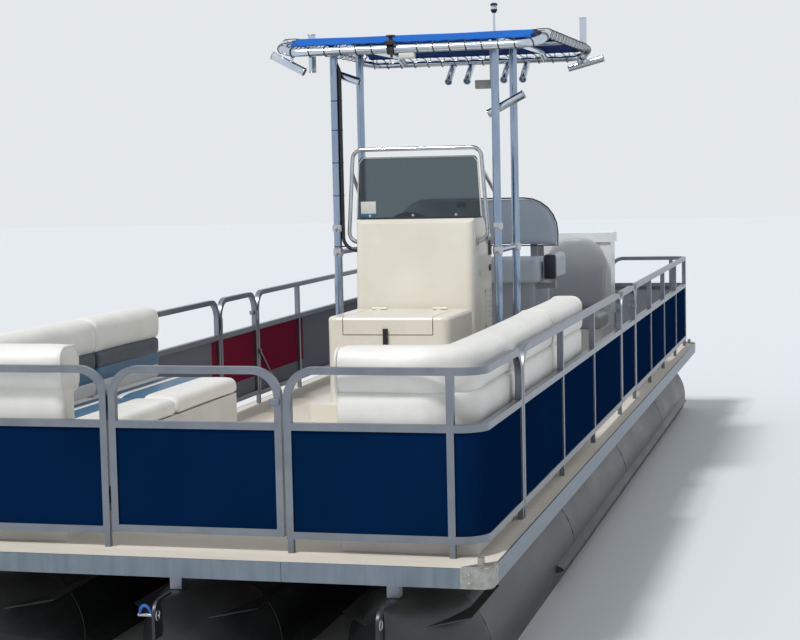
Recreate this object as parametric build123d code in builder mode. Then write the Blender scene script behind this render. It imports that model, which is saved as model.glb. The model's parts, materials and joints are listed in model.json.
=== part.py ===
from build123d import *
from math import atan2, cos, radians, sin, tan
import os

os.makedirs("parts", exist_ok=True)

# A tritoon pontoon boat, bow towards -Y and port side towards +X, standing on its three keels.
# Stations run aft from the deck's front edge, and levels run up from the deck's top, in mm.

# Deck and hull
beam = 2590
deck_length = 8750
bow = -5092
deck_top = 790
deck_thickness = 20
trim_height = 79
trim_thickness = 8
tube_radius = 305
tube_level = -450
tube_spacing = 900
tube_end = 8700
keel_height = 35
keel_width = 14
nose_root = 400
cap_size = 125
cap_round = 40

# Fence of square tube with sheet panels
rail = 30
fence_side = 1240
fence_bow = 158
fence_stern = 8600
fence_top = 753
mid_top = 528
fence_foot = 58
corner_radius = 120
elbow_radius = 110
elbow_end = elbow_radius + 5
panel_thickness = 3
panel_inset = 8
gate_gap = 10

# Clearance between a piece and its seat
fit = 0.3

# Helm and roof
console_half = 375
plinth_half = 490
plinth_height = 170
box_half = 370
box_front = 3360
box_back = 3965
box_level = 680
wall = 20
leg_half = 510
leg_stations = (4110, 4700)
pipe = 50
roof_half = 830
roof_front = 3950
roof_back = 5900
roof_corner = 150
roof_bend = 200

# Outboard, stored tilted up on its transom
tilt_station = 9400
tilt_level = 0
stored_tilt = 42


def at(x, station, level):
    """A point from its place across, along and above the deck."""
    return Vector(x, bow + station, deck_top + level)


def across(station, x=0, level=0):
    """A plane square to the boat's length: drawn x to port, drawn y up, facing forward."""
    return Plane(origin=at(x, station, level), x_dir=(1, 0, 0), z_dir=(0, -1, 0))


def along(x, station=0, level=0):
    """A plane along the boat's length: drawn x aft, drawn y up, facing to port."""
    return Plane(origin=at(x, station, level), x_dir=(0, 1, 0), z_dir=(1, 0, 0))


def flat(level, x=0, station=0):
    """A level plane: drawn x to port and drawn y aft."""
    return Plane(origin=at(x, station, level))


def save(piece, name):
    piece.part.label = name
    export_step(piece.part, f"parts/{name}.step")


def block(x0, x1, station0, station1, level0, level1, mode=Mode.ADD):
    """A plain box between two places across, along and above the deck."""
    size = (x1 - x0, station1 - station0, level1 - level0)
    with Locations(at((x0 + x1) / 2, (station0 + station1) / 2, (level0 + level1) / 2)):
        Box(*size, mode=mode)


def straight_pipe(start, end, radius, mode=Mode.ADD):
    """A round bar between two points."""
    run = end - start
    with BuildSketch(Plane(origin=start, z_dir=run)) as section:
        Circle(radius)
    extrude(section.sketch, amount=run.length, mode=mode)


# Pontoons
# Nose sections: station, half width, top level, bottom level
nose_sections = [
    (-165, 14, -128, -300),
    (-20, 105, -130, -520),
    (170, 215, -136, -670),
]
tow_eye_station = -197
tow_eye_level = -182
tow_eye_radius = 14
tow_plate = 12
fin_level = -250
tube_names = {"pontoon_starboard": -tube_spacing, "pontoon_centre": 0, "pontoon_port": tube_spacing}

for name, x in tube_names.items():
    with BuildPart() as pontoon:
        with BuildSketch(across(nose_root, x, tube_level)):
            Circle(tube_radius)
        extrude(amount=-(tube_end - nose_root))
        for station, half, top, bottom in nose_sections:
            with BuildSketch(across(station, x, (top + bottom) / 2)):
                Ellipse(half, (top - bottom) / 2)
        with BuildSketch(across(nose_root, x, tube_level)):
            Circle(tube_radius)
        loft()
        block(x - keel_width / 2, x + keel_width / 2, 250, tube_end,
              tube_level - tube_radius - keel_height, tube_level - tube_radius + 20)
        # The tow eye is a rounded plate on the nose.
        with BuildSketch(along(x - tow_plate / 2, tow_eye_station, tow_eye_level)):
            with BuildLine():
                Polyline((-33, -90), (-33, 60), (142, 60), (142, -90), close=True)
            make_face()
            fillet(vertices().group_by(Axis.Y)[-1].sort_by(Axis.X)[0], 60)
            Circle(tow_eye_radius, mode=Mode.SUBTRACT)
        extrude(amount=tow_plate)
        for side in (-1, 1):
            # Splash fin on the nose, then the lifting strake along the tube's side.
            with BuildSketch(flat(fin_level, x)):
                with BuildLine():
                    Polyline((side * 60, 40), (side * 125, 40), (side * 268, 210), (side * 268, 760),
                             (side * 200, 800), close=True)
                make_face()
            extrude(amount=6)
            with BuildSketch(across(2000, x, tube_level)):
                with BuildLine():
                    Polyline((side * 290, 22), (side * 341, -4), (side * 341, -14), (side * 290, -30),
                             close=True)
                make_face()
            extrude(amount=-(tube_end - 2300))
    save(pontoon, name)

# Cross members: a beam across the three tubes with a saddle on each
beam_first = 450
beam_spacing = 610
beam_count = 14
beam_width = 50
beam_half = beam / 2 - trim_thickness - 5
with BuildPart() as cross_members:
    for n in range(beam_count):
        station = beam_first + n * beam_spacing
        block(-beam_half, beam_half, station - beam_width / 2, station + beam_width / 2,
              -trim_height, -deck_thickness)
        for x in tube_names.values():
            block(x - 130, x + 130, station - beam_width / 2, station + beam_width / 2,
                  -190, -trim_height)
    # The bow beam ends short of the rounded corner caps, and stands on the noses by narrow brackets.
    bow_beam_half = beam_half - cap_round - 5
    block(-bow_beam_half, bow_beam_half, 12, 62, -trim_height, -deck_thickness)
    for x in tube_names.values():
        block(x - 25, x + 25, 12, 62, -128, -trim_height)
        with BuildSketch(across(0, x, tube_level)):
            Circle(tube_radius)
        extrude(amount=-tube_end, mode=Mode.SUBTRACT)
save(cross_members, "cross_members")

# Deck, its edge trim and the cast corner caps
half_beam = beam / 2
inner_half = half_beam - trim_thickness
with BuildPart() as deck:
    with BuildSketch(flat(-deck_thickness, 0, deck_length / 2)):
        Rectangle(2 * inner_half, deck_length - 2 * trim_thickness)
        fillet(vertices(), cap_round)
    extrude(amount=deck_thickness)
save(deck, "deck")

with BuildPart() as deck_trim:
    for side in (-1, 1):
        inside, outside = sorted((side * inner_half, side * half_beam))
        block(inside, outside, cap_size, deck_length - cap_size, -trim_height, 0)
    for station in (0, deck_length - trim_thickness):
        block(-half_beam + cap_size, half_beam - cap_size, station, station + trim_thickness,
              -trim_height, 0)
save(deck_trim, "deck_trim")

with BuildPart() as corner_caps:
    for side in (-1, 1):
        for end in (-1, 1):
            corner_x = side * half_beam
            corner_y = end * deck_length / 2
            with BuildSketch(flat(-trim_height, 0, deck_length / 2)):
                with Locations((corner_x - side * cap_size, corner_y - end * cap_size)):
                    RectangleRounded(2 * cap_size, 2 * cap_size, cap_round + trim_thickness)
                    inner_cap = 2 * (cap_size - trim_thickness)
                    RectangleRounded(inner_cap, inner_cap, cap_round, mode=Mode.SUBTRACT)
                with Locations((corner_x - side * cap_size / 2, corner_y - end * cap_size / 2)):
                    Rectangle(cap_size, cap_size, mode=Mode.INTERSECT)
            extrude(amount=trim_height)
            # A triangular top plate carries a cleat post.
            with BuildSketch(flat(0, 0, deck_length / 2)):
                with BuildLine():
                    Polyline((corner_x - side * 3, corner_y - end * 45),
                             (corner_x - side * 3, corner_y - end * 120),
                             (corner_x - side * 120, corner_y - end * 3),
                             (corner_x - side * 45, corner_y - end * 3), close=True)
                make_face()
            extrude(amount=7)
            block(corner_x - side * 52 - 12, corner_x - side * 52 + 12,
                  deck_length / 2 + corner_y - end * 52 - 12, deck_length / 2 + corner_y - end * 52 + 12,
                  0, 34)
save(corner_caps, "corner_caps")

# Fence
# Each run: direction, centre line, start, is its start an elbow, end, is its end an elbow,
# posts between. A run with no elbow meets a rounded corner of the fence.
bow_line = fence_bow + rail / 2
stern_line = fence_stern - rail / 2
side_line = fence_side - rail / 2
corner_x = fence_side - corner_radius
corner_bow = fence_bow + corner_radius
corner_stern = fence_stern - corner_radius
bow_gate = (-332, 414)
stern_gate_half = 565
port_gate = (4300, 4995)
starboard_gate = (3845, 4540)
# direction, line, start, start elbow, end, end elbow, posts between
runs = [
    ("x", bow_line, -corner_x, False, bow_gate[0] - gate_gap, True, [-1105]),
    ("x", bow_line, bow_gate[1] + gate_gap, True, corner_x, False, [1105]),
    ("x", stern_line, -corner_x, False, -stern_gate_half - gate_gap, True, [-1105]),
    ("x", stern_line, stern_gate_half + gate_gap, True, corner_x, False, [1105]),
    ("y", side_line, corner_bow, False, 990, True, []),
    ("y", side_line, 1000, True, port_gate[0] - gate_gap, True, [2080, 3140]),
    ("y", side_line, port_gate[1] + gate_gap, True, corner_stern, False, [5900, 6780, 7660, 8465]),
    ("y", -side_line, corner_bow, False, 990, True, []),
    ("y", -side_line, 1000, True, starboard_gate[0] - gate_gap, True, [2340]),
    ("y", -side_line, starboard_gate[1] + gate_gap, True, corner_stern, False, [5450, 6450, 7450, 8465]),
]


def place(direction, line, along_run, level):
    """A point on a fence run."""
    return at(along_run, line, level) if direction == "x" else at(line, along_run, level)


def rail_bar(direction, line, start, end, top):
    """A square rail along a fence run."""
    if direction == "x":
        block(start, end, line - rail / 2, line + rail / 2, top - rail, top)
    else:
        block(line - rail / 2, line + rail / 2, start, end, top - rail, top)


def post_bar(direction, line, middle, top):
    """A square post between the bottom and top rails."""
    x, station = (middle, line) if direction == "x" else (line, middle)
    block(x - rail / 2, x + rail / 2, station - rail / 2, station + rail / 2, fence_foot, top)


def elbow_post(direction, line, middle, turn):
    """An end post that bends over into the top rail, towards +1 or -1 along the run."""
    top = fence_top - rail / 2
    with BuildLine() as path:
        FilletPolyline(place(direction, line, middle, fence_foot), place(direction, line, middle, top),
                       place(direction, line, middle + turn * elbow_end, top), radius=elbow_radius)
    with BuildSketch(Plane(origin=place(direction, line, middle, fence_foot), x_dir=(1, 0, 0))) as section:
        Rectangle(rail, rail)
    sweep(section.sketch, path=path.line)


def bays(run):
    """The clear stretches between the posts of a run, and whether each end is a post's face."""
    direction, line, start, start_elbow, end, end_elbow, posts = run
    first = start + rail if start_elbow else start
    last = end - rail if end_elbow else end
    faces = [first] + [face for post in posts for face in (post - rail / 2, post + rail / 2)] + [last]
    return [(faces[n], faces[n + 1]) for n in range(0, len(faces), 2) if faces[n + 1] - faces[n] > 1]


# Gates: name, direction, line, hinge end, latch end, inward side along the other axis
hinge_out = 9
hinge_radius = 6
hinge_height = 70
hinge_seat = 35
hinge_levels = (180, 560)
gate_lift = 8
foot_half = 12
gates = [
    ("bow_gate", "x", bow_line, bow_gate[0], bow_gate[1], 1),
    ("stern_gate", "x", stern_line, stern_gate_half, -stern_gate_half, -1),
    ("port_gate", "y", side_line, port_gate[0], port_gate[1], -1),
    ("starboard_gate", "y", -side_line, starboard_gate[0], starboard_gate[1], 1),
]


def hinge_half(direction, line, pivot, towards, inward, low, high):
    """A hinge's knuckle, with its leaf reaching to a post towards +1 or -1 along the run."""
    pivot_line = line + inward * (rail / 2 + hinge_out)
    with BuildSketch(Plane(origin=place(direction, pivot_line, pivot, low))) as knuckle:
        Circle(hinge_radius)
    extrude(knuckle.sketch, amount=high - low)
    leaf = sorted((pivot, pivot + towards * (gate_gap / 2 + rail / 2)))
    lines = sorted((line + inward * (rail / 2 - 1), pivot_line))
    if direction == "x":
        block(leaf[0], leaf[1], lines[0], lines[1], low, high)
    else:
        block(lines[0], lines[1], leaf[0], leaf[1], low, high)


with BuildPart() as fence_rails:
    for run in runs:
        direction, line, start, start_elbow, end, end_elbow, posts = run
        top_start = start + rail / 2 + elbow_end if start_elbow else start
        top_end = end - rail / 2 - elbow_end if end_elbow else end
        rail_bar(direction, line, top_start, top_end, fence_top)
        for bay_start, bay_end in bays(run):
            rail_bar(direction, line, bay_start, bay_end, mid_top)
            rail_bar(direction, line, bay_start, bay_end, fence_foot + rail)
save(fence_rails, "fence_rails")

with BuildPart() as fence_posts:
    for direction, line, start, start_elbow, end, end_elbow, posts in runs:
        if start_elbow:
            elbow_post(direction, line, start + rail / 2, 1)
        if end_elbow:
            elbow_post(direction, line, end - rail / 2, -1)
        for middle in posts:
            post_bar(direction, line, middle, fence_top - rail)
    # Feet between the deck and the bottom rail, and the fixed halves of the gates' hinges.
    for direction, line, start, start_elbow, end, end_elbow, posts in runs:
        ends = [start + rail / 2] * start_elbow + [end - rail / 2] * end_elbow
        for middle in posts + ends:
            x, station = (middle, line) if direction == "x" else (line, middle)
            block(x - foot_half, x + foot_half, station - foot_half, station + foot_half, 0, fence_foot)
    for name, direction, line, hinge_end, latch_end, inward in gates:
        swing = 1 if latch_end > hinge_end else -1
        pivot = hinge_end - swing * gate_gap / 2
        for level in hinge_levels:
            hinge_half(direction, line, pivot, -swing, inward, level - hinge_seat, level - fit)
save(fence_posts, "fence_posts")

# The rounded corners: centre across, centre along, start angle of the quarter turn
corners = [
    (corner_x, corner_bow, -90),
    (-corner_x, corner_bow, 180),
    (corner_x, corner_stern, 0),
    (-corner_x, corner_stern, 90),
]


def quarter(x, station, start_angle, outer, thickness, level, height):
    """A quarter ring standing on a level."""
    with BuildSketch(flat(level, x, station)) as section:
        with BuildLine():
            CenterArc((0, 0), outer, start_angle, 90)
            CenterArc((0, 0), outer - thickness, start_angle, 90)
            for angle in (start_angle, start_angle + 90):
                ray = Vector(cos(radians(angle)), sin(radians(angle)))
                Line(ray * (outer - thickness), ray * outer)
        make_face()
    extrude(section.sketch, amount=height)


with BuildPart() as fence_corner_bends:
    for x, station, start_angle in corners:
        for top in (fence_top, mid_top, fence_foot + rail):
            quarter(x, station, start_angle, corner_radius, rail, top - rail, rail)
save(fence_corner_bends, "fence_corner_bends")

panel_foot = fence_foot + rail
panel_top = mid_top - rail
with BuildPart() as fence_panels:
    for run in runs:
        direction, line = run[0], run[1]
        # Panels sit near the fence's outer face.
        outward = 1 if line > fence_stern / 2 or (direction == "y" and line > 0) else -1
        middle = line + outward * (rail / 2 - panel_inset - panel_thickness / 2)
        for start, end in bays(run):
            if direction == "x":
                block(start, end, middle - panel_thickness / 2, middle + panel_thickness / 2,
                      panel_foot, panel_top)
            else:
                block(middle - panel_thickness / 2, middle + panel_thickness / 2, start, end,
                      panel_foot, panel_top)
    for x, station, start_angle in corners:
        quarter(x, station, start_angle, corner_radius - panel_inset, panel_thickness,
                panel_foot, panel_top - panel_foot)
save(fence_panels, "fence_panels")

for name, direction, line, hinge_end, latch_end, inward in gates:
    swing = 1 if latch_end > hinge_end else -1
    hinge_post = hinge_end + swing * rail / 2
    latch_post = latch_end - swing * rail / 2
    low = min(hinge_post, latch_post)
    high = max(hinge_post, latch_post)
    foot = fence_foot + gate_lift
    top = fence_top - rail / 2
    with BuildPart() as gate_frame:
        with BuildLine():
            FilletPolyline(place(direction, line, low, foot), place(direction, line, low, top),
                           place(direction, line, high, top), place(direction, line, high, foot),
                           radius=elbow_radius)
        with BuildSketch(Plane(origin=place(direction, line, low, foot), x_dir=(1, 0, 0))):
            Rectangle(rail, rail)
        sweep()
        rail_bar(direction, line, low, high, mid_top)
        rail_bar(direction, line, low, high, foot + rail)
        # Two hinge barrels on the inner side, and the latch's lever at the free end.
        pivot = hinge_end - swing * gate_gap / 2
        for level in hinge_levels:
            hinge_half(direction, line, pivot, swing, inward, level, level + hinge_height)
        lever = sorted((line + inward * rail / 2 - inward, line + inward * (rail / 2 + 14)))
        lever_run = sorted((latch_end - swing * 4, latch_end - swing * 24))
        if direction == "x":
            block(lever_run[0], lever_run[1], lever[0], lever[1], 560, 625)
        else:
            block(lever[0], lever[1], lever_run[0], lever_run[1], 560, 625)
    save(gate_frame, f"{name}_frame")
    middle = line - inward * (rail / 2 - panel_inset - panel_thickness / 2)
    edges_lines = (middle - panel_thickness / 2, middle + panel_thickness / 2)
    with BuildPart() as gate_panel:
        if direction == "x":
            block(low + rail / 2, high - rail / 2, *edges_lines, foot + rail, panel_top)
        else:
            block(*edges_lines, low + rail / 2, high - rail / 2, foot + rail, panel_top)
    save(gate_panel, f"{name}_panel")

# Couches: side, front of the seat, aft end
couch_inside = 1195
couch_bow = 205
couch_round = 150
seat_bow = 240
bolster = 200
bolster_foot = 615
bolster_top = 828
back_foot = 450.3
back_thickness = 130
seat_foot = 360
seat_top = 450
couches = [("port", 1, 615, 3050), ("starboard", -1, 555, 2370)]


def round_bow_corner(side):
    """Rounds a couch back's outer corner inside the fence's corner."""
    reach = couch_round + 10
    with BuildSketch(flat(back_foot - 5, side * (couch_inside - couch_round), couch_bow + couch_round)) as cut:
        with Locations((side * reach / 2, -reach / 2)):
            Rectangle(reach, reach)
        Circle(couch_round, mode=Mode.SUBTRACT)
    extrude(cut.sketch, amount=bolster_top, mode=Mode.SUBTRACT)


def bolster_section():
    """A round-topped bolster over a thinner back panel, its outer face on the drawn y axis."""
    with Locations((bolster / 2, (bolster_top + bolster_foot) / 2)):
        RectangleRounded(bolster, bolster_top - bolster_foot, 85)
    with Locations((20 + back_thickness / 2, (back_foot + bolster_foot + 40) / 2)):
        Rectangle(back_thickness, bolster_foot + 40 - back_foot)


for name, side, seat_front, aft_end in couches:
    x_dir = (-side, 0, 0)
    with BuildPart() as back:
        start = couch_bow if side > 0 else couch_bow + bolster + 8
        section = Plane(origin=at(side * couch_inside, start, 0), x_dir=x_dir, z_dir=(0, side, 0))
        with BuildSketch(section):
            bolster_section()
        extrude(amount=side * (aft_end - start))
        if side > 0:
            section = Plane(origin=at(seat_front, couch_bow, 0), x_dir=(0, 1, 0), z_dir=(1, 0, 0))
            with BuildSketch(section):
                bolster_section()
            extrude(amount=couch_inside - seat_front)
            round_bow_corner(side)
    save(back, f"couch_{name}_back")
    if side < 0:
        with BuildPart() as chaise:
            section = Plane(origin=at(-couch_inside, couch_bow, 0), x_dir=(0, 1, 0), z_dir=(1, 0, 0))
            with BuildSketch(section):
                bolster_section()
            extrude(amount=couch_inside - seat_front)
            round_bow_corner(side)
        save(chaise, "couch_starboard_chaise_back")
    edge = sorted((side * seat_front, side * (couch_inside - 5)))
    with BuildPart() as seat:
        block(edge[0], edge[1], seat_bow, aft_end, seat_foot, seat_top)
        fillet(seat.edges().filter_by(Axis.Y).group_by(Axis.Z)[-1], 25)
    save(seat, f"couch_{name}_seat")
    base_edge = sorted((side * (seat_front + 20), side * (couch_inside - 5)))
    with BuildPart() as base:
        block(base_edge[0], base_edge[1], seat_bow, aft_end - 15, 0, seat_foot)
    save(base, f"couch_{name}_base")

# Console on its plinth
# Side profile: station, level
console_profile = [(3970, plinth_height), (4040, 1200), (4075, 1226), (4310, 1226), (4560, 1105),
                   (4560, plinth_height)]
with BuildPart() as console:
    with BuildSketch(along(-console_half)):
        with BuildLine():
            Polyline(*console_profile, close=True)
        make_face()
    extrude(amount=2 * console_half)
    front_edges = console.edges().filter_by(lambda edge: edge.length > 900).sort_by(Axis.Y)[0:2]
    fillet(front_edges, 45)
    block(-plinth_half, plinth_half, 3300, 4620, 0, plinth_height)
    fillet(console.edges().filter_by(Axis.Z).sort_by(Axis.Y)[0:2], 60)
    # The wheel's boss on the aft face.
    straight_pipe(at(-170, 4540, 1020), at(-170, 4620, 1020 + 80 * tan(radians(30))), 38)
save(console, "console")

# Seat box before the console, with its lid
lid_half = 268
lid_back = 3885
lid_lip = 578
lid_gap = 5
latch_depth = 14
lid_hinges = (-190, 190)
lid_knuckle = 30
lid_pivot = lid_back + 3
lid_pivot_level = box_level + 8
with BuildPart() as seat_box:
    block(-box_half, box_half, box_front, box_back, plinth_height, box_level)
    fillet(seat_box.edges().filter_by(Axis.Z).group_by(Axis.Y)[0], 55)
    fillet(seat_box.faces().sort_by(Axis.Y)[0].edges().sort_by(Axis.Z)[-1], 22)
    block(-box_half + wall, box_half - wall, box_front + wall, box_back - wall,
          plinth_height + wall, box_level - wall, mode=Mode.SUBTRACT)
    block(-lid_half - lid_gap, lid_half + lid_gap, box_front - 1, lid_back + lid_gap,
          box_level - wall - 1, box_level + 1, mode=Mode.SUBTRACT)
    block(-lid_half - lid_gap, lid_half + lid_gap, box_front - 1, box_front + wall + 1,
          lid_lip - lid_gap, box_level, mode=Mode.SUBTRACT)
    # The outer knuckles of the lid's two hinges.
    for x in lid_hinges:
        for low in (x - lid_knuckle * 1.5, x + lid_knuckle / 2 + fit):
            high = low + lid_knuckle - fit
            straight_pipe(at(low, lid_pivot, lid_pivot_level), at(high, lid_pivot, lid_pivot_level), hinge_radius)
            block(low, high, lid_pivot + 4, lid_pivot + 44, box_level, box_level + 4)
            block(low, high, lid_pivot, lid_pivot + 5, box_level + fit, lid_pivot_level)
save(seat_box, "console_seat_box")

with BuildPart() as seat_box_lid:
    with BuildSketch(along(-lid_half)):
        with BuildLine():
            Polyline((box_front, lid_lip), (box_front, box_level), (lid_back, box_level),
                     (lid_back, box_level - wall), (box_front + wall, box_level - wall),
                     (box_front + wall, lid_lip), close=True)
        make_face()
    extrude(amount=2 * lid_half)
    fillet(seat_box_lid.edges().filter_by(Axis.X).group_by(Axis.Y)[0].sort_by(Axis.Z)[-1], 22)
    for x in lid_hinges:
        low = x - lid_knuckle / 2 + fit
        high = x + lid_knuckle / 2
        straight_pipe(at(low, lid_pivot, lid_pivot_level), at(high, lid_pivot, lid_pivot_level), hinge_radius)
        block(low, high, lid_pivot - 44, lid_pivot, box_level - 1, box_level + 4)
save(seat_box_lid, "console_seat_lid")

with BuildPart() as seat_latch:
    block(-26, 2, box_front - latch_depth, box_front, lid_lip + 2, 612)
    block(-26, 2, box_front - latch_depth, box_front - lid_gap, 505, lid_lip + 2)
save(seat_latch, "seat_lid_latch")

# Windshield and the grab rail round it
screen_half = 400
screen_foot = 1226
screen_top = 1612
with BuildPart() as windshield:
    with BuildSketch(across(4168, 0, (screen_foot + screen_top) / 2)):
        Trapezoid(2 * screen_half, screen_top - screen_foot, 86.7)
        fillet(vertices().group_by(Axis.Y)[-1], 28)
    extrude(amount=-6)
save(windshield, "windshield")

grab_radius = 12.5
grab_half = 447
grab_top_half = 408
grab_station = 4140
grab_aft = 4440
grab_foot = 1085
grab_top = 1660
with BuildPart() as windshield_rail:
    hoop = [(-console_half, grab_foot), (-grab_half, grab_foot), (-grab_top_half, grab_top),
            (grab_top_half, grab_top), (grab_half, grab_foot), (console_half, grab_foot)]
    with BuildLine():
        FilletPolyline(*[at(x, grab_station, level) for x, level in hoop], radius=[62, 60, 60, 62])
    with BuildSketch(along(-console_half, grab_station, grab_foot)):
        Circle(grab_radius)
    sweep()
    for side in (-1, 1):
        # An arm on each side runs aft from the hoop and down to the console's side.
        x = side * grab_half
        arm = [at(side * 417.5, grab_station, 1520), at(x, grab_aft, 1350), at(x, grab_aft, grab_foot),
               at(side * console_half, grab_aft, grab_foot)]
        with BuildLine():
            FilletPolyline(*arm, radius=60)
        with BuildSketch(Plane(origin=arm[0], z_dir=arm[1] - arm[0])):
            Circle(grab_radius)
        sweep()
save(windshield_rail, "windshield_rail")

# Steering wheel on a sloping column
wheel_tilt = 30
wheel_radius = 170
column_end = at(-170, 4620, 1020 + 80 * tan(radians(wheel_tilt)))
wheel_axis = Vector(0, cos(radians(wheel_tilt)), sin(radians(wheel_tilt)))
wheel_plane = Plane(origin=column_end + wheel_axis * fit, x_dir=(1, 0, 0), z_dir=wheel_axis)
with BuildPart(wheel_plane) as steering_wheel:
    with Locations((0, 0, 60)):
        Torus(wheel_radius, 14)
    with Locations((0, 0, 30)):
        Cylinder(32, 60)
    with Locations((0, 0, 60)):
        for angle in (90, 210, 330):
            with PolarLocations(wheel_radius / 2, 1, start_angle=angle):
                Box(wheel_radius - 6, 26, 8)
save(steering_wheel, "steering_wheel")

# Roof frame: round pipe bent to a flat top with steep ends, on four legs
pipe_radius = pipe / 2
side_pipe_radius = pipe_radius - 1
bent_pipe_radius = pipe_radius - 0.5
roof_middle = (roof_front + roof_back) / 2
# The bows' centre line: station, level
roof_outline = [(roof_front, 2262), (4130, 2334), (5715, 2339), (roof_back, 2290)]


def bow_level(station):
    """A roof bow's centre line above the deck."""
    for (start, low), (end, high) in zip(roof_outline, roof_outline[1:]):
        if station <= end:
            return low + (high - low) * (station - start) / (end - start)


def bow_path(x, start, end):
    """The corners of a bow between two stations."""
    return [at(x, start, bow_level(start)), at(x, *roof_outline[1]), at(x, *roof_outline[2]),
            at(x, end, bow_level(end))]


def bow_pipe(x, start, end, radius, mode=Mode.ADD):
    """A pipe bent to the roof's outline."""
    points = bow_path(x, start, end)
    with BuildLine() as path:
        FilletPolyline(*points, radius=roof_bend)
    with BuildSketch(Plane(origin=points[0], z_dir=points[1] - points[0])) as section:
        Circle(radius)
    sweep(section.sketch, path=path.wires()[0], mode=mode)


with BuildPart() as ttop_frame:
    elbow_ends = []
    for (end, level), (inner, inner_level) in (roof_outline[:2], roof_outline[:1:-1]):
        # The cross rail and its two elbows lie in a plane that rises along the bows.
        slope = atan2(inner_level - level, abs(inner - end))
        sign = 1 if inner > end else -1
        rise = Vector(0, sign * cos(slope), sin(slope))
        turn = at(0, end, level)
        points = [turn + Vector(-roof_half, 0, 0) + rise * roof_corner * 1.05,
                  turn + Vector(-roof_half, 0, 0), turn + Vector(roof_half, 0, 0),
                  turn + Vector(roof_half, 0, 0) + rise * roof_corner * 1.05]
        with BuildLine():
            FilletPolyline(*points, radius=roof_corner)
        with BuildSketch(Plane(origin=points[0], z_dir=rise * -1)):
            Circle(pipe_radius)
        sweep()
        elbow_ends.append(end + sign * (roof_corner * cos(slope) - 8))
    for x in (-roof_half, roof_half):
        bow_pipe(x, *elbow_ends, side_pipe_radius)
    for x in (-leg_half, leg_half):
        bow_pipe(x, roof_front + 6, roof_back - 6, bent_pipe_radius)
    straight_pipe(at(-roof_half, roof_middle, bow_level(roof_middle)),
                  at(roof_half, roof_middle, bow_level(roof_middle)), pipe_radius - 4)
save(ttop_frame, "ttop_frame")

with BuildPart() as ttop_legs:
    for x in (-leg_half, leg_half):
        for station in leg_stations:
            straight_pipe(at(x, station, 8), at(x, station, bow_level(station)), pipe_radius)
            straight_pipe(at(x, station, 0), at(x, station, 8), 55)
        straight_pipe(at(x, leg_stations[0], 1025), at(x, leg_stations[1], 1025), 17)
    for x in (-leg_half, leg_half):
        bow_pipe(x, roof_front, roof_back, bent_pipe_radius + fit, mode=Mode.SUBTRACT)
    block(-plinth_half, plinth_half, 3300, 4620, 0, plinth_height, mode=Mode.SUBTRACT)
save(ttop_legs, "ttop_legs")

canvas_half = 765
canvas_gap = 32
canvas_thickness = 4
canvas_rise = bent_pipe_radius + fit + canvas_thickness / 2
with BuildPart() as canvas:
    canvas_points = bow_path(0, roof_front + canvas_gap, roof_back - canvas_gap)
    with BuildLine():
        FilletPolyline(*canvas_points, radius=roof_bend)
    with BuildSketch(Plane(origin=canvas_points[0], x_dir=(1, 0, 0), z_dir=canvas_points[1] - canvas_points[0])):
        with Locations((0, -canvas_rise)):
            Rectangle(2 * canvas_half, canvas_thickness)
    sweep()
save(canvas, "ttop_canvas")

# Rod holders: x, station and level of the tube's middle, lean aft and lean to port in degrees, length
holder_radius = 25
holder_bore = 21
strut_radius = 9
holder_off = pipe_radius + holder_radius + fit
side_holder_off = side_pipe_radius + holder_radius + fit
holders = [
    (-761, 3975, 2199, 0, -62, 235),
    (-roof_half - side_holder_off, 4850, 2318, 0, 0, 252),
    (-449, leg_stations[0] + holder_off, 2114, 0, -70, 190),
    (567, leg_stations[0] + holder_off, 1918, 0, 63, 250),
    (-165, roof_back - 18, 2216, 55, 0, 245),
    (-30, roof_back - 18, 2216, 55, 0, 245),
    (235, roof_back - 18, 2216, 55, 0, 245),
    (370, roof_back - 18, 2216, 55, 0, 245),
    (778, roof_back + 31, 2410, 0, 0, 317),
    (789, roof_back + 82, 2254, 0, 75.7, 258),
]
# Struts that clamp the corner ones to the roof's rail: the two ends
holder_struts = [
    ((-735, 3970.3, 2210.2), (-735, 3964.5, 2240.4)),
    ((774, 5924, 2294.6), (763.4, 5904.7, 2294.6)),
    ((740, 5962.8, 2252.3), (740, 5914.1, 2278.5)),
]
with BuildPart() as rod_holders:
    for x, station, level, aft, port, length in holders:
        with Locations(Location(at(x, station, level), (-aft, port, 0))):
            Cylinder(holder_radius, length)
    for start, end in holder_struts:
        straight_pipe(at(*start), at(*end), strut_radius)
    for x, station, level, aft, port, length in holders:
        with Locations(Location(at(x, station, level), (-aft, port, 0))):
            Cylinder(holder_bore, length + 2, mode=Mode.SUBTRACT)
save(rod_holders, "rod_holders")

# Anchor light: a flanged mast with a collar, a clear band and a cap
light_x = 347
light_foot = bow_level(roof_middle) + bent_pipe_radius + canvas_thickness + 2 * fit
light_tall = 2605 - light_foot
# radius and height up from the foot, then down from the top
light_outline = [(0, 0), (20, 0), (20, 6), (9, 12), (9, light_tall - 65), (22, light_tall - 50),
                 (22, light_tall - 42), (19, light_tall - 42), (19, light_tall - 18), (24, light_tall - 18),
                 (24, light_tall - 8), (14, light_tall), (0, light_tall)]
with BuildPart() as anchor_light:
    with BuildSketch(along(light_x, roof_middle, light_foot)):
        with BuildLine():
            Polyline(*light_outline, close=True)
        make_face()
    revolve(axis=Axis(at(light_x, roof_middle, light_foot), (0, 0, 1)))
save(anchor_light, "anchor_light")

with BuildPart() as floodlight:
    block(345, 462, 4290, 4335, 2022, 2075)
    # A strap hangs it from the roof's bow.
    strap = bow_level(4310)
    block(440, 446, 4300, 4320, 2075, strap + 5)
    block(440, leg_half - bent_pipe_radius - fit, 4300, 4320, strap - 5, strap + 5)
save(floodlight, "floodlight")

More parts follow.
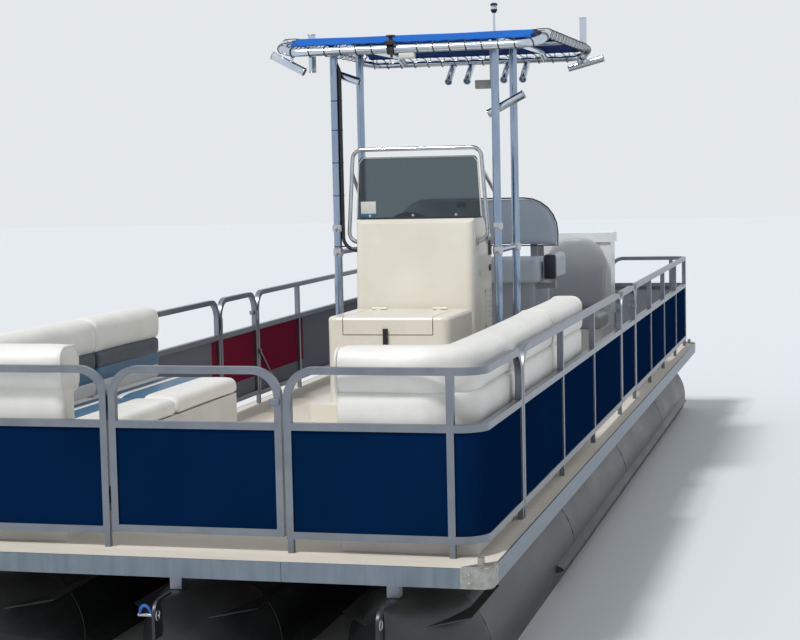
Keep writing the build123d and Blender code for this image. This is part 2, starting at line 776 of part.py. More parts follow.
# Wiring loom tied along the starboard front leg, from the roof down into the console's side
loom_radius = 11
loom_station = leg_stations[0]
loom_x = -leg_half + pipe_radius + loom_radius + fit
loom_foot = 1040
with BuildPart() as console_loom:
    route = [at(loom_x - 24, loom_station, 2205), at(loom_x, loom_station, 2150),
             at(loom_x, loom_station, loom_foot), at(-console_half - fit, loom_station, loom_foot)]
    with BuildLine():
        FilletPolyline(*route, radius=[60, 80])
    with BuildSketch(Plane(origin=route[0], z_dir=route[1] - route[0])):
        Circle(loom_radius)
    sweep()
    # A gland holds it at the console, and it enters the leg through a hole near the roof.
    straight_pipe(at(-console_half - 27, loom_station, loom_foot), route[3], 16)
    straight_pipe(at(-leg_half, loom_station, 1900), at(-leg_half, loom_station, 2250), pipe_radius + fit,
                  mode=Mode.SUBTRACT)
save(console_loom, "console_loom")

# Brace rod from the post aft of the starboard gate down to the deck
brace_post = starboard_gate[1] + gate_gap + rail / 2
brace_level = 350
brace_inner = -fence_side + rail + fit
brace_foot = brace_post + 410
with BuildPart() as fence_brace:
    straight_pipe(at(brace_inner + 6, brace_post, brace_level), at(brace_inner + 10, brace_foot, 5), 6)
    block(brace_inner, brace_inner + 12, brace_post - 10, brace_post + 10, brace_level - 16, brace_level + 14)
    block(brace_inner, brace_inner + 22, brace_foot - 18, brace_foot + 14, 0, 6)
    block(brace_inner - 5, brace_inner + 30, brace_foot - 30, brace_foot + 30, -20, 0, mode=Mode.SUBTRACT)
save(fence_brace, "fence_brace")

# Helm bench: a raised leaning seat with a padded back on two uprights
bench_seat_foot = 745
bench_back_front = 5870
bench_back_end = 5955
with BuildPart() as bench_base:
    block(-500, 500, 5390, bench_back_end + 20, 0, bench_seat_foot)
    fillet(bench_base.edges().filter_by(Axis.Z), 40)
    for x in (-400, 400):
        block(x - 25, x + 25, bench_back_end + fit, bench_back_end + 20, 600, 1180)
save(bench_base, "helm_bench_base")

with BuildPart() as bench_seat:
    block(-560, 560, 5330, 5845, bench_seat_foot, 908)
    fillet(bench_seat.edges().filter_by(Axis.Z), 60)
    fillet(bench_seat.edges().group_by(Axis.Z)[-1], 25)
save(bench_seat, "helm_bench_seat")

with BuildPart() as bench_back:
    with BuildSketch(across(bench_back_front, 0, 1146)):
        Rectangle(1186, 350)
        fillet(vertices().group_by(Axis.Y)[-1], 250)
        fillet(vertices().group_by(Axis.Y)[0], 20)
    extrude(amount=bench_back_front - bench_back_end)
save(bench_back, "helm_bench_back")

with BuildPart() as bench_arms:
    for side in (-1, 1):
        inside, outside = sorted((side * 563, side * 655))
        with BuildSketch(across(5400)):
            with BuildLine():
                Polyline((inside, 757), (outside, 757), (outside, 937), (inside, 937), close=True)
            make_face()
            fillet(vertices(), 30)
        extrude(amount=-380)
        bracket = sorted((side * 500, side * 620))
        block(bracket[0], bracket[1], 5560, 5600, 690, 730)
        post = sorted((side * 595, side * 620))
        block(post[0], post[1], 5560, 5600, 690, 770)
save(bench_arms, "helm_bench_arms")

# Stern seats: a moulded box behind a padded back, on each side of the aisle
seat_inner = 300
seat_outer = 817
seat_slab = 15
seat_box_end = 7165
with BuildPart() as stern_boxes:
    for side in (-1, 1):
        inside, outside = sorted((side * seat_inner, side * seat_outer))
        block(inside, outside, 6400, seat_box_end, 0, 330)
        block(inside, outside, 6940, seat_box_end, 330, 950)
        block(inside - seat_slab, outside + seat_slab, 6940 - seat_slab, seat_box_end + seat_slab, 950, 1022)
save(stern_boxes, "stern_seat_boxes")

with BuildPart() as stern_cushions:
    for side in (-1, 1):
        inside, outside = sorted((side * seat_inner, side * seat_outer))
        block(inside, outside, 6385, 6850, 330, 440)
    fillet(stern_cushions.edges().group_by(Axis.Z)[-1], 25)
save(stern_cushions, "stern_seat_cushions")

with BuildPart() as stern_backs:
    for side in (-1, 1):
        with BuildSketch(across(6840, side * (seat_inner + seat_outer) / 2, 0)):
            with BuildLine():
                Line((-215, 445), (215, 445))
                Line((215, 445), (242, 850))
                ThreePointArc((242, 850), (0, 1000), (-242, 850))
                Line((-242, 850), (-215, 445))
            make_face()
        extrude(amount=-(6940 - seat_slab - 6840 - fit))
save(stern_backs, "stern_seat_backs")

# Transom pod behind the centre tube
with BuildPart() as pod:
    with BuildSketch(along(-260)):
        with BuildLine():
            Polyline((tube_end, -90), (9250, -90), (9250, 0), (9290, 0), (9290, -560), (tube_end, -700),
                     close=True)
        make_face()
    extrude(amount=520)
save(pod, "transom_pod")

# Outboard, drawn as it runs and turned up about its tilt axis
tilt_pin = 16
steer_pin = 18
gearcase_middle = 240
gearcase_length = 330
hub_length = 110
tilt_plane = Plane(origin=at(0, tilt_station, tilt_level)).rotated((stored_tilt, 0, 0))
with BuildPart() as clamp:
    for side in (-1, 1):
        inside, outside = sorted((side * 95, side * 125))
        with BuildSketch(along(inside)):
            with BuildLine():
                Polyline((9290, 0), (9290, -380), (9330, -380), (9445, 0), (9400, 45), (9340, 45), close=True)
            make_face()
        extrude(amount=outside - inside)
    straight_pipe(at(-125, tilt_station, tilt_level), at(125, tilt_station, tilt_level), tilt_pin)
save(clamp, "outboard_clamp_bracket")


def tilted(x0, x1, y0, y1, z0, z1):
    """A box in the outboard's running pose, turned up with it."""
    with Locations(((x0 + x1) / 2, (y0 + y1) / 2, (z0 + z1) / 2)):
        Box(x1 - x0, y1 - y0, z1 - z0)


def tilted_side(x):
    """A plane along the outboard, turned up with it: drawn x aft, drawn y up."""
    return Plane(origin=tilt_plane.from_local_coords(Vector(x, 0, 0)), x_dir=tilt_plane.y_dir,
                 z_dir=tilt_plane.x_dir)


def tilted_level(z, y=0):
    """A plane across the outboard, turned up with it: drawn x to port, drawn y aft."""
    return Plane(origin=tilt_plane.from_local_coords(Vector(0, y, z)), x_dir=tilt_plane.x_dir,
                 z_dir=tilt_plane.z_dir)


with BuildPart(tilt_plane) as swivel:
    tilted(-88, 88, -34, 34, -34, 34)
    with Locations((0, 70, -150)):
        Cylinder(48, 330)
    tilted(-60, 60, 0, 70, -280, 15)
    with Locations((0, 0, 0)):
        Cylinder(tilt_pin + fit, 400, rotation=(0, 90, 0), mode=Mode.SUBTRACT)
    with Locations((0, 70, -150)):
        Cylinder(steer_pin + fit, 400, mode=Mode.SUBTRACT)
save(swivel, "outboard_swivel_bracket")

# The engine under its hood: the hood's side outline, aft and up from the tilt axis
hood_half = 195
hood_foot = 155
hood_outline = [(-60, hood_foot), (-95, 240), (-95, 560), (-10, 710), (140, 760), (420, 745), (560, 650),
                (590, 470), (565, hood_foot)]
with BuildPart() as powerhead:
    with BuildSketch(tilted_side(-hood_half)):
        with BuildLine():
            Polyline(*hood_outline, close=True)
        make_face()
        fillet(vertices(), 70)
    extrude(amount=2 * hood_half)
    fillet(powerhead.faces().filter_by(Axis.X).edges(), 60)
save(powerhead, "outboard_engine")

# Leg: an adapter, an oval column, an oval strut, the plate over the propeller, a gearcase and its fin
propeller_level = -870
gearcase_radius = 58
gearcase_front = gearcase_middle - gearcase_length / 2
gearcase_end = gearcase_middle + gearcase_length / 2
# level, half width and half length of the column's and the strut's ends
column = [(60, 55, 85), (-560, 42, 80)]
strut = [(-545, 30, 78), (-840, 30, 72)]
leg_middle = 215
fin_half = 7
with BuildPart(tilt_plane) as leg:
    with Locations((0, 70, -110)):
        Cylinder(steer_pin, 510)
    tilted(-75, 75, 30, 330, 45, hood_foot)
    tilted(-40, 40, 40, 200, -420, -365)
    for oval in (column, strut):
        for level, half_width, half_length in oval:
            with BuildSketch(tilted_level(level, leg_middle)):
                SlotOverall(2 * half_length, 2 * half_width, rotation=90)
        loft()
    with BuildSketch(tilted_level(-745, 267.5)):
        Rectangle(220, 295)
        fillet(vertices().group_by(Axis.Y)[-1], 60)
        fillet(vertices().group_by(Axis.Y)[0], 100)
    extrude(amount=15)
    with BuildSketch(tilted_side(0)):
        with BuildLine():
            Polyline((gearcase_front, propeller_level), (gearcase_end, propeller_level),
                     (gearcase_end, propeller_level + gearcase_radius),
                     (gearcase_front + 95, propeller_level + gearcase_radius))
            ThreePointArc((gearcase_front + 95, propeller_level + gearcase_radius),
                          (gearcase_front + 28, propeller_level + 39), (gearcase_front, propeller_level))
        make_face()
    revolve(axis=Axis(tilt_plane.from_local_coords(Vector(0, 0, propeller_level)), tilt_plane.y_dir))
    with BuildSketch(tilted_side(-fin_half)):
        with BuildLine():
            Polyline((150, -900), (290, -900), (272, -1120), (225, -1120), close=True)
        make_face()
    extrude(amount=2 * fin_half)
save(leg, "outboard_leg")

propeller_at = gearcase_end + hub_length / 2 + fit
blade_count = 3
blade_pitch = 28
blade_middle = 105
with BuildPart(tilt_plane) as propeller:
    with Locations((0, propeller_at, propeller_level)):
        Cylinder(45, hub_length, rotation=(90, 0, 0))
    for blade in range(blade_count):
        turn = 90 + 360 / blade_count * blade
        place_at = (blade_middle * cos(radians(turn)), propeller_at,
                    propeller_level + blade_middle * sin(radians(turn)))
        face = Location(place_at, (0, 90 - turn, 0)) * Location((0, 0, 0), (0, 0, blade_pitch))
        with BuildSketch(Plane(tilt_plane.location * face * Plane.XZ.location)):
            Ellipse(52, 78)
        extrude(amount=7, both=True)
save(propeller, "propeller")
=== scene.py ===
# %% [markdown]
# # A pontoon boat, dressed in Blender
# The boat is a tritoon: three aluminium tubes carry a flat deck with a fence round it. The frame brings
# every hard piece at its real size, and this lesson gives those pieces their finishes, then models what
# is soft or fine: cushions, canvas, lacing, cowl and fittings. All lengths are in metres.

# %% Load the frame
import json
import math
import bmesh
import bpy
from mathutils import Matrix, Vector


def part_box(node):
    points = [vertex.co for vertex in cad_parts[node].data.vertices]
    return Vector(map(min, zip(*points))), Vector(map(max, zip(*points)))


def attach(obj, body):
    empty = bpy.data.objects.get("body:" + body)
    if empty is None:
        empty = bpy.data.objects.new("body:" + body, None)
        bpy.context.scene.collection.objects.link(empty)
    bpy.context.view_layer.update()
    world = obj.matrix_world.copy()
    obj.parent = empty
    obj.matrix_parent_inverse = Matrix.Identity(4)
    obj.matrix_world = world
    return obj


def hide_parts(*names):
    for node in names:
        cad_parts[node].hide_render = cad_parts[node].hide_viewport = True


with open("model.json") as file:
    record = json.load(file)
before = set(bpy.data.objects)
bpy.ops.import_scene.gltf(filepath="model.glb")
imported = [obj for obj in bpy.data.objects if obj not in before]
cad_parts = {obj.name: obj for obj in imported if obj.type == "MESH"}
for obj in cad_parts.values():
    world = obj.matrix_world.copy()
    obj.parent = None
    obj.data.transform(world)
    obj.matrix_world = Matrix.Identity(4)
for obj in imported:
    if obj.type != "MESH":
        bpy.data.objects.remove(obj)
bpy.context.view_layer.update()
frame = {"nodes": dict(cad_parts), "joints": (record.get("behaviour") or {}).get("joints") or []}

nodes = frame["nodes"]
bpy.ops.object.select_all(action="DESELECT")
print("the frame holds", len(nodes), "nodes")

# %% [markdown]
# ## Places on the boat
# A boat builder speaks of stations, measured aft from the deck's front edge, and of levels, measured up
# from the deck. Both are read from the frame, and one short function turns such a place into a point.

# %% Stations and levels
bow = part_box("deck_trim")[0].y
deck_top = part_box("deck")[1].z
freeboard = 0.56
waterline = deck_top - freeboard


def at(x, station, level):
    """A point from its place across, along and above the deck."""
    return Vector((x, bow + station, deck_top + level))


print("bow at", round(bow, 3), "deck at", round(deck_top, 3), "waterline at", round(waterline, 3))

# %% [markdown]
# ## Camera
# The boat is seen from ahead of its port bow through a long lens. The camera stands at that place and
# looks aft and a little down, with the slight tilt of a camera held by hand.

# %% Camera
eye = at(2.642, -6.448, 1.516)
turn_left = math.radians(14.66)
look_down = math.radians(4.81)
hand_tilt = math.radians(-1.26)
lens_in_widths = 1754.8 / 800
sensor_width = 36

level_right = Vector((math.cos(turn_left), math.sin(turn_left), 0))
level_ahead = Vector((-math.sin(turn_left), math.cos(turn_left), 0))
ahead = level_ahead * math.cos(look_down) - Vector((0, 0, math.sin(look_down)))
level_up = level_right.cross(ahead)
right = level_right * math.cos(hand_tilt) + level_up * math.sin(hand_tilt)
up = level_up * math.cos(hand_tilt) - level_right * math.sin(hand_tilt)

bpy.ops.object.camera_add(location=eye)
camera = bpy.context.object
camera.name = "dock_camera"
camera.rotation_mode = "QUATERNION"
camera.rotation_quaternion = Matrix((right, up, -ahead)).transposed().to_quaternion()
camera.data.sensor_width = sensor_width
camera.data.lens = lens_in_widths * sensor_width
camera.data.clip_end = 400
bpy.context.scene.camera = camera
print("lens", round(camera.data.lens, 1), "mm")

# %% [markdown]
# ## Nodes by one small function
# A material is a tree of nodes. One function adds a node, sets its values and joins its inputs, so each
# finish below reads as a short recipe. Colours are written as sRGB hex and turned to linear light.

# %% Colour and node helpers
bpy.context.scene.view_settings.view_transform = "Standard"


def linear(code):
    """Linear red, green, blue and alpha of an sRGB hex colour."""
    parts = [int(code[n:n + 2], 16) / 255 for n in (1, 3, 5)]
    return tuple(p / 12.92 if p <= 0.04045 else ((p + 0.055) / 1.055) ** 2.4 for p in parts) + (1,)


def add_node(tree, kind, settings=None, links=None):
    """Adds a node, sets its sockets or properties, and joins its inputs to other nodes' outputs."""
    node = tree.nodes.new(kind)
    for key, value in (settings or {}).items():
        if isinstance(key, int) or key in node.inputs:
            node.inputs[key].default_value = value
        else:
            setattr(node, key, value)
    for key, output in (links or {}).items():
        tree.links.new(output, node.inputs[key])
    return node


def new_finish(name, colour, roughness, metallic=0.0, **settings):
    """A material with one principled shader. Returns the material, its tree, shader and coordinates."""
    material = bpy.data.materials.new(name)
    material.use_nodes = True
    material.diffuse_color = linear(colour)
    tree = material.node_tree
    shader = tree.nodes["Principled BSDF"]
    values = {"Base Color": linear(colour), "Roughness": roughness, "Metallic": metallic, **settings}
    for key, value in values.items():
        shader.inputs[key].default_value = value
    place = add_node(tree, "ShaderNodeTexCoord").outputs["Object"]
    print("finish:", name)
    return material, tree, shader, place


def mix_colours(tree, factor, first, second, **settings):
    """One colour over another by a factor. Each is a linear colour or another node's output."""
    mix = add_node(tree, "ShaderNodeMix", {"data_type": "RGBA", **settings})
    for socket, given in (("Factor", factor), (6, first), (7, second)):
        if isinstance(given, bpy.types.NodeSocket):
            tree.links.new(given, mix.inputs[socket])
        elif given is not None:
            mix.inputs[socket].default_value = given
    return mix.outputs[2]


def mottle(tree, shader, place, first, second, size, amount=0.5, stretch=(1, 1, 1)):
    """Two colours in soft patches of about that size, for stains, fading and handling."""
    mapped = add_node(tree, "ShaderNodeMapping", {"Scale": stretch}, {"Vector": place})
    noise = add_node(tree, "ShaderNodeTexNoise", {"Scale": 1 / size, "Detail": 5.0, "Roughness": 0.6},
                     {"Vector": mapped.outputs[0]})
    limits = {"From Min": 0.5 - amount / 2, "From Max": 0.5 + amount / 2}
    spread = add_node(tree, "ShaderNodeMapRange", limits, {"Value": noise.outputs["Fac"]})
    tone = mix_colours(tree, spread.outputs[0], linear(first), linear(second))
    tree.links.new(tone, shader.inputs["Base Color"])
    return tone, spread.outputs[0]


def vary_roughness(tree, shader, fac, low, high):
    """Roughness that runs from low to high with a pattern."""
    spread = add_node(tree, "ShaderNodeMapRange", {"To Min": low, "To Max": high}, {"Value": fac})
    tree.links.new(spread.outputs[0], shader.inputs["Roughness"])


def add_bump(tree, shader, height, depth, strength=1.0):
    """Bump from a height pattern, its full depth in metres."""
    bump = add_node(tree, "ShaderNodeBump", {"Strength": strength, "Distance": depth}, {"Height": height})
    tree.links.new(bump.outputs[0], shader.inputs["Normal"])


def grain(tree, place, size, detail=2.0):
    """A fine even grain of about that size."""
    return add_node(tree, "ShaderNodeTexNoise", {"Scale": 1 / size, "Detail": detail},
                    {"Vector": place}).outputs["Fac"]


def patchy_finish(name, colour, dark, light, patch, roughness, metallic=0.0, amount=0.5, stretch=(1, 1, 1),
                  grit=0.0, depth=0.0, detail=2.0, **settings):
    """A finish in two tones, in patches of one size, with a roughness or its range and a fine grit."""
    ranged = isinstance(roughness, tuple)
    material, tree, shader, place = new_finish(name, colour, roughness[0] if ranged else roughness, metallic,
                                               **settings)
    tone, patches = mottle(tree, shader, place, dark, light, patch, amount, stretch)
    if ranged:
        vary_roughness(tree, shader, patches, *roughness)
    if grit:
        add_bump(tree, shader, grain(tree, place, grit, detail), depth)
    return material


# %% [markdown]
# ## Floor and light
# The boat is shown afloat, so a plain pale floor lies at its waterline and hides the hull below it. A
# soft high sun stands to starboard of the bow and a pale world fills the shade. Camera, glossy and
# transmission rays see a plain pale sky, so that metal and glass have it to show.

# %% Floor
floor_size = 120
bpy.ops.mesh.primitive_plane_add(size=floor_size, location=(0, 0, waterline))
floor = bpy.context.object
floor.name = "pale_floor"
floor.data.materials.append(new_finish("pale_matt_floor", "#DDE0E2", 0.9)[0])

# %% World and sun
fill_strength, sky_strength, sun_strength = 0.62, 1.0, 2.1
sun_spread = math.radians(7)
towards_sun = Vector((-0.28, -0.50, 0.82))

world = bpy.data.worlds.new("pale_world")
bpy.context.scene.world = world
world.use_nodes = True
world_tree = world.node_tree
world_tree.nodes.clear()
rays = add_node(world_tree, "ShaderNodeLightPath").outputs
seen = add_node(world_tree, "ShaderNodeMath", {"operation": "ADD", "use_clamp": True},
                {0: rays["Is Camera Ray"], 1: rays["Is Glossy Ray"]})
seen = add_node(world_tree, "ShaderNodeMath", {"operation": "ADD", "use_clamp": True},
                {0: seen.outputs[0], 1: rays["Is Transmission Ray"]})
fill = add_node(world_tree, "ShaderNodeBackground", {"Color": linear("#EEF2F7"), "Strength": fill_strength})
sky = add_node(world_tree, "ShaderNodeBackground", {"Color": linear("#E4E8EB"), "Strength": sky_strength})
choice = add_node(world_tree, "ShaderNodeMixShader",
                  links={0: seen.outputs[0], 1: fill.outputs[0], 2: sky.outputs[0]})
add_node(world_tree, "ShaderNodeOutputWorld", links={"Surface": choice.outputs[0]})

bpy.ops.object.light_add(type="SUN", location=at(-4, -4, 8))
sun = bpy.context.object
sun.data.energy = sun_strength
sun.data.angle = sun_spread
sun.rotation_mode = "QUATERNION"
sun.rotation_quaternion = towards_sun.to_track_quat("Z", "Y")
print("floor, world and sun are set")

# %% [markdown]
# ## Aluminium
# Six kinds of aluminium show. Fence tube is satin anodised, roof pipe is polished and anodised, the legs'
# pipe is tinted blue as a painted reflection of the navy canvas above it, deck trim is mill finish, pontoons
# are rolled sheet that has weathered and is darkened as a painted reflection of dark water, and corner caps
# are sand cast.
# They share one base and differ in tone, roughness and what the years left.

# %% Satin anodised fence tube
# Handling dulls the anodising in patches about a hand wide. Extrusion lines are under a tenth of a
# millimetre and are drawn at 2 mm so that they show.
fence_tube = patchy_finish("satin_anodised_aluminium", "#82878F", "#787E87", "#8C9199", 0.12,
                           (0.30, 0.42), 1.0, grit=0.002, depth=0.00004)

# %% Polished roof pipe, and leg pipe tinted blue as a painted reflection
# Patches run along a pipe, so they are stretched to three times their width.
along_pipe = (1, 1, 0.3)
roof_pipe = patchy_finish("polished_anodised_aluminium_pipe", "#C9D2DC", "#BCC8D6", "#D3DAE1", 0.10,
                          (0.10, 0.22), 1.0, stretch=along_pipe)
# The legs' blue tint is a painted reflection of the navy canvas above them.
leg_pipe_painted_reflection = patchy_finish("aluminium_pipe_painted_blue_reflection", "#93A5BB", "#8497AF", "#A2B1C4", 0.10,
                         (0.08, 0.20), 1.0, stretch=along_pipe)

# %% Mill finish deck trim with drips
# Rain runs down the fascia and leaves streaks about 50 mm apart.
deck_trim = patchy_finish("mill_finish_aluminium_trim", "#7A868F", "#6C7883", "#8A959D", 0.05,
                          (0.34, 0.52), 0.9, amount=0.6, stretch=(1, 1, 0.12), grit=0.003, depth=0.00005)

# %% Weathered pontoon sheet, darkened as a painted reflection of dark water
pontoon_sheet, tree, shader, place = new_finish("weathered_rolled_aluminium_painted_dark_reflection", "#77797A", 0.40, 0.9)
# The two tones are dark as a painted reflection of dark water on the tubes; their patches stand for
# weathering.
tone, clouds = mottle(tree, shader, place, "#36383A", "#585A5B", 0.22, 0.6, (1, 0.35, 1))
vary_roughness(tree, shader, clouds, 0.32, 0.55)
# Mineral scum marks the stretch just above the waterline.
height = add_node(tree, "ShaderNodeSeparateXYZ", links={0: place}).outputs["Z"]
wobble = add_node(tree, "ShaderNodeTexNoise", {"Scale": 6.0, "Detail": 4.0}, {"Vector": place})
line = add_node(tree, "ShaderNodeMath", {"operation": "MULTIPLY_ADD", 1: 0.10, 2: waterline - 0.02},
                {0: wobble.outputs["Fac"]})
scum = add_node(tree, "ShaderNodeMapRange", {"From Min": 0.03, "From Max": -0.03})
below = add_node(tree, "ShaderNodeMath", {"operation": "SUBTRACT"}, {0: height, 1: line.outputs[0]})
tree.links.new(below.outputs[0], scum.inputs["Value"])
scummed = mix_colours(tree, scum.outputs[0], tone, linear("#5E6158"))
tree.links.new(scummed, shader.inputs["Base Color"])
add_bump(tree, shader, clouds, 0.0006)

# %% Sand cast corner caps
# Sand grains leave pits of about 1 mm.
cast_metal = patchy_finish("sand_cast_aluminium", "#A2A29D", "#8E8E89", "#B4B4AF", 0.03, 0.5, 0.9,
                           grit=0.0012, depth=0.0003)

# %% [markdown]
# ## Painted fence sheet
# Each fence bay holds a thin aluminium sheet, enamelled navy outside and left grey inside. The outer face
# is told from the inner one by its normal: outside, it points away from the boat's middle. Starboard
# bays beside the console carry a maroon band on the inside.

# %% Navy enamel outside and grey inside
navy_sheet, tree, shader, place = new_finish("navy_enamelled_aluminium_sheet", "#05173A", 0.25,
                                             **{"Specular IOR Level": 0.0})
facing = add_node(tree, "ShaderNodeTexCoord").outputs["Normal"]
outward = add_node(tree, "ShaderNodeVectorMath", {"operation": "DOT_PRODUCT"}, {0: facing, 1: place})
inside = add_node(tree, "ShaderNodeMath", {"operation": "LESS_THAN", 1: 0.0}, {0: outward.outputs["Value"]})
fade = add_node(tree, "ShaderNodeTexNoise", {"Scale": 1.6, "Detail": 3.0}, {"Vector": place})
navy = mix_colours(tree, fade.outputs["Fac"], linear("#031834"), linear("#062449"))
axes = add_node(tree, "ShaderNodeSeparateXYZ", links={0: place}).outputs


def between(tree, value, low, high):
    """One where a value lies between two limits, else zero."""
    over = add_node(tree, "ShaderNodeMath", {"operation": "GREATER_THAN", 1: low}, {0: value})
    under = add_node(tree, "ShaderNodeMath", {"operation": "LESS_THAN", 1: high}, {0: value})
    return both_of(tree, over.outputs[0], under.outputs[0])


def both_of(tree, one, other):
    """One where both patterns are one."""
    return add_node(tree, "ShaderNodeMath", {"operation": "MULTIPLY"}, {0: one, 1: other}).outputs[0]


band_start, band_end = at(-1.3, 3.72, 0.19), at(-1.1, 5.57, 0.49)
band = both_of(tree, between(tree, axes["Y"], band_start.y, band_end.y),
               between(tree, axes["Z"], band_start.z, band_end.z))
band = both_of(tree, band, between(tree, axes["X"], band_start.x, band_end.x))
grey = mix_colours(tree, band, linear("#6B7078"), linear("#702038"))
faces = mix_colours(tree, inside.outputs[0], navy, grey)
tree.links.new(faces, shader.inputs["Base Color"])
vary_roughness(tree, shader, inside.outputs[0], 0.22, 0.40)

# %% [markdown]
# ## Deck vinyl
# The deck is laid with woven vinyl: flat strands about 4 mm wide, in two tones of sand, that go over and
# under each other. Two sets of waves make the weave, and their product gives each crossing its lift and
# darkens the hollows between them as painted shade.

# %% Woven deck vinyl
# A wave texture of scale 1 repeats each 0.314 m.
wave_length = 0.314
strand = 0.004


def weave(tree, place, thread):
    """A height pattern of threads that cross, from two sets of waves at a right angle."""
    waves = [add_node(tree, "ShaderNodeTexWave", {"bands_direction": way, "Scale": wave_length / thread},
                      {"Vector": place}).outputs["Fac"] for way in ("X", "Y")]
    return both_of(tree, *waves)


deck_vinyl, tree, shader, place = new_finish("woven_marine_vinyl", "#E3DACA", 0.7)
crossing = weave(tree, place, strand)
tone = mottle(tree, shader, place, "#DDD3C1", "#EFE8DB", 0.03, 0.9, (0.25, 1, 1))[0]
# Where the weave is low its colour is darkened by up to a tenth: painted shade in the hollows between
# strands.
woven = mix_colours(tree, None, tone, crossing, blend_type="MULTIPLY", Factor=0.10)
tree.links.new(woven, shader.inputs["Base Color"])
add_bump(tree, shader, crossing, 0.0008)

# %% [markdown]
# ## Gelcoat, vinyl and plastic
# Console, plinth and seat boxes are fibreglass under gelcoat: glossy, faintly wavy, a little chalky where
# the sun has been at it. The seats wear marine vinyl with a fine leather grain.

# %% Cream, blue grey and white gelcoat
# Orange peel in sprayed gelcoat has waves of about 6 mm.
orange_peel = {"amount": 0.6, "grit": 0.006, "depth": 0.00006, "detail": 0.0}
gelcoat = patchy_finish("cream_gelcoat_fibreglass", "#E4DFD0", "#DDD7C6", "#EAE6DA", 0.35, (0.24, 0.38),
                        **orange_peel, **{"Coat Weight": 0.35, "Coat Roughness": 0.12})
grey_gelcoat = patchy_finish("blue_grey_gelcoat_fibreglass", "#9FA6AF", "#969DA7", "#A9B0B8", 0.35, 0.30,
                             **orange_peel)
white_gelcoat = patchy_finish("white_gelcoat_fibreglass", "#E9E9E8", "#E0E0DE", "#F1F1F0", 0.35, 0.30,
                              **orange_peel)

# %% Marine vinyl in several colours


def marine_vinyl(name, dark, light, stripes=()):
    """Soft coated fabric with a pebbled grain about 1.5 mm across, and stripes sewn in along the boat."""
    material, tree, shader, place = new_finish(name, light, 0.42, **{"Sheen Weight": 0.08})
    tone, handling = mottle(tree, shader, place, dark, light, 0.18, 0.6)
    away = add_node(tree, "ShaderNodeSeparateXYZ", links={0: place}).outputs["X"]
    away = add_node(tree, "ShaderNodeMath", {"operation": "ABSOLUTE"}, {0: away}).outputs[0]
    for inner, outer, colour in stripes:
        tone = mix_colours(tree, between(tree, away, inner, outer), tone, linear(colour))
        tree.links.new(tone, shader.inputs["Base Color"])
    vary_roughness(tree, shader, handling, 0.36, 0.5)
    pebbles = add_node(tree, "ShaderNodeTexVoronoi", {"Scale": 1 / 0.0016}, {"Vector": place})
    creases = grain(tree, place, 0.05, 6.0)
    both = add_node(tree, "ShaderNodeMath", {"operation": "MULTIPLY_ADD", 1: 0.15},
                    {0: pebbles.outputs["Distance"], 2: creases})
    add_bump(tree, shader, both.outputs[0], 0.0012, 0.6)
    return material


cream_vinyl = marine_vinyl("cream_marine_vinyl", "#DFDDD6", "#F0EEE8")
striped_vinyl = marine_vinyl("striped_marine_vinyl", "#DFDDD6", "#F0EEE8",
                             [(0.75, 0.87, "#235A7C"), (0.905, 0.955, "#235A7C")])
pale_vinyl = marine_vinyl("pale_grey_marine_vinyl", "#B9BABA", "#C9CACA")
slate_vinyl = marine_vinyl("slate_marine_vinyl", "#20303F", "#2A3B4B")
blue_vinyl = marine_vinyl("mid_blue_marine_vinyl", "#1F5374", "#286285")
bench_vinyl = marine_vinyl("blue_grey_marine_vinyl", "#B4BFCA", "#C2CCD5")
stern_vinyl = marine_vinyl("cool_grey_marine_vinyl", "#9EA1A4", "#AEB1B3")
navy_vinyl = marine_vinyl("navy_marine_vinyl", "#141A28", "#1E2636")

# %% Moulded seat base, black plastic and rubber
# Rotational moulding leaves a faint pebble of about 2 mm.
base_plastic = patchy_finish("rotomoulded_polyethylene", "#D3D2CD", "#C9C8C3", "#DBDAD5", 0.2, 0.5,
                             grit=0.002, depth=0.0002)
black_plastic = patchy_finish("black_abs_plastic", "#16171A", "#121316", "#22242A", 0.05, 0.42,
                              grit=0.001, depth=0.0001)

# %% Smoked acrylic screen
smoked_acrylic, tree, shader, place = new_finish("smoked_acrylic", "#56646A", 0.04,
                                                 **{"Transmission Weight": 0.94, "IOR": 1.49})
# Salt and wiping leave a faint haze, worst near the edges; here the roughness varies in even patches across
# the screen.
haze = add_node(tree, "ShaderNodeTexNoise", {"Scale": 9.0, "Detail": 4.0}, {"Vector": place})
vary_roughness(tree, shader, haze.outputs["Fac"], 0.02, 0.10)

# %% Stainless steel
# Polished steel is nearly a mirror, a little warmer than aluminium, and hands leave it cloudy in spots.
stainless = patchy_finish("polished_stainless_steel", "#B9BCC0", "#A9ACB0", "#C6C9CC", 0.04,
                          (0.10, 0.24), 1.0)

# %% Outboard paint
# Black enamel under clear lacquer has a hard bright shine, and metal flake in it sparkles in the sun.
outboard_paint, tree, shader, place = new_finish("black_metallic_enamel", "#17191D", 0.22,
                                                 **{"Coat Weight": 0.8, "Coat Roughness": 0.04})
# The flake is under 0.1 mm and is drawn at 1 mm.
flake = add_node(tree, "ShaderNodeTexVoronoi", {"Scale": 1000.0}, {"Vector": place})
spark = add_node(tree, "ShaderNodeMapRange", {"From Max": 0.5, "To Min": 0.3, "To Max": 0.0},
                 {"Value": flake.outputs["Distance"]})
tree.links.new(spark.outputs[0], shader.inputs["Metallic"])
mottle(tree, shader, place, "#131519", "#20232A", 0.3)
print("finishes are mixed:", len(bpy.data.materials))

# %% [markdown]
# ## Finishes onto the frame's pieces
# Each node of the frame takes the finish of its real material. What is modelled anew further down, such
# as a cushion, is given its own there.

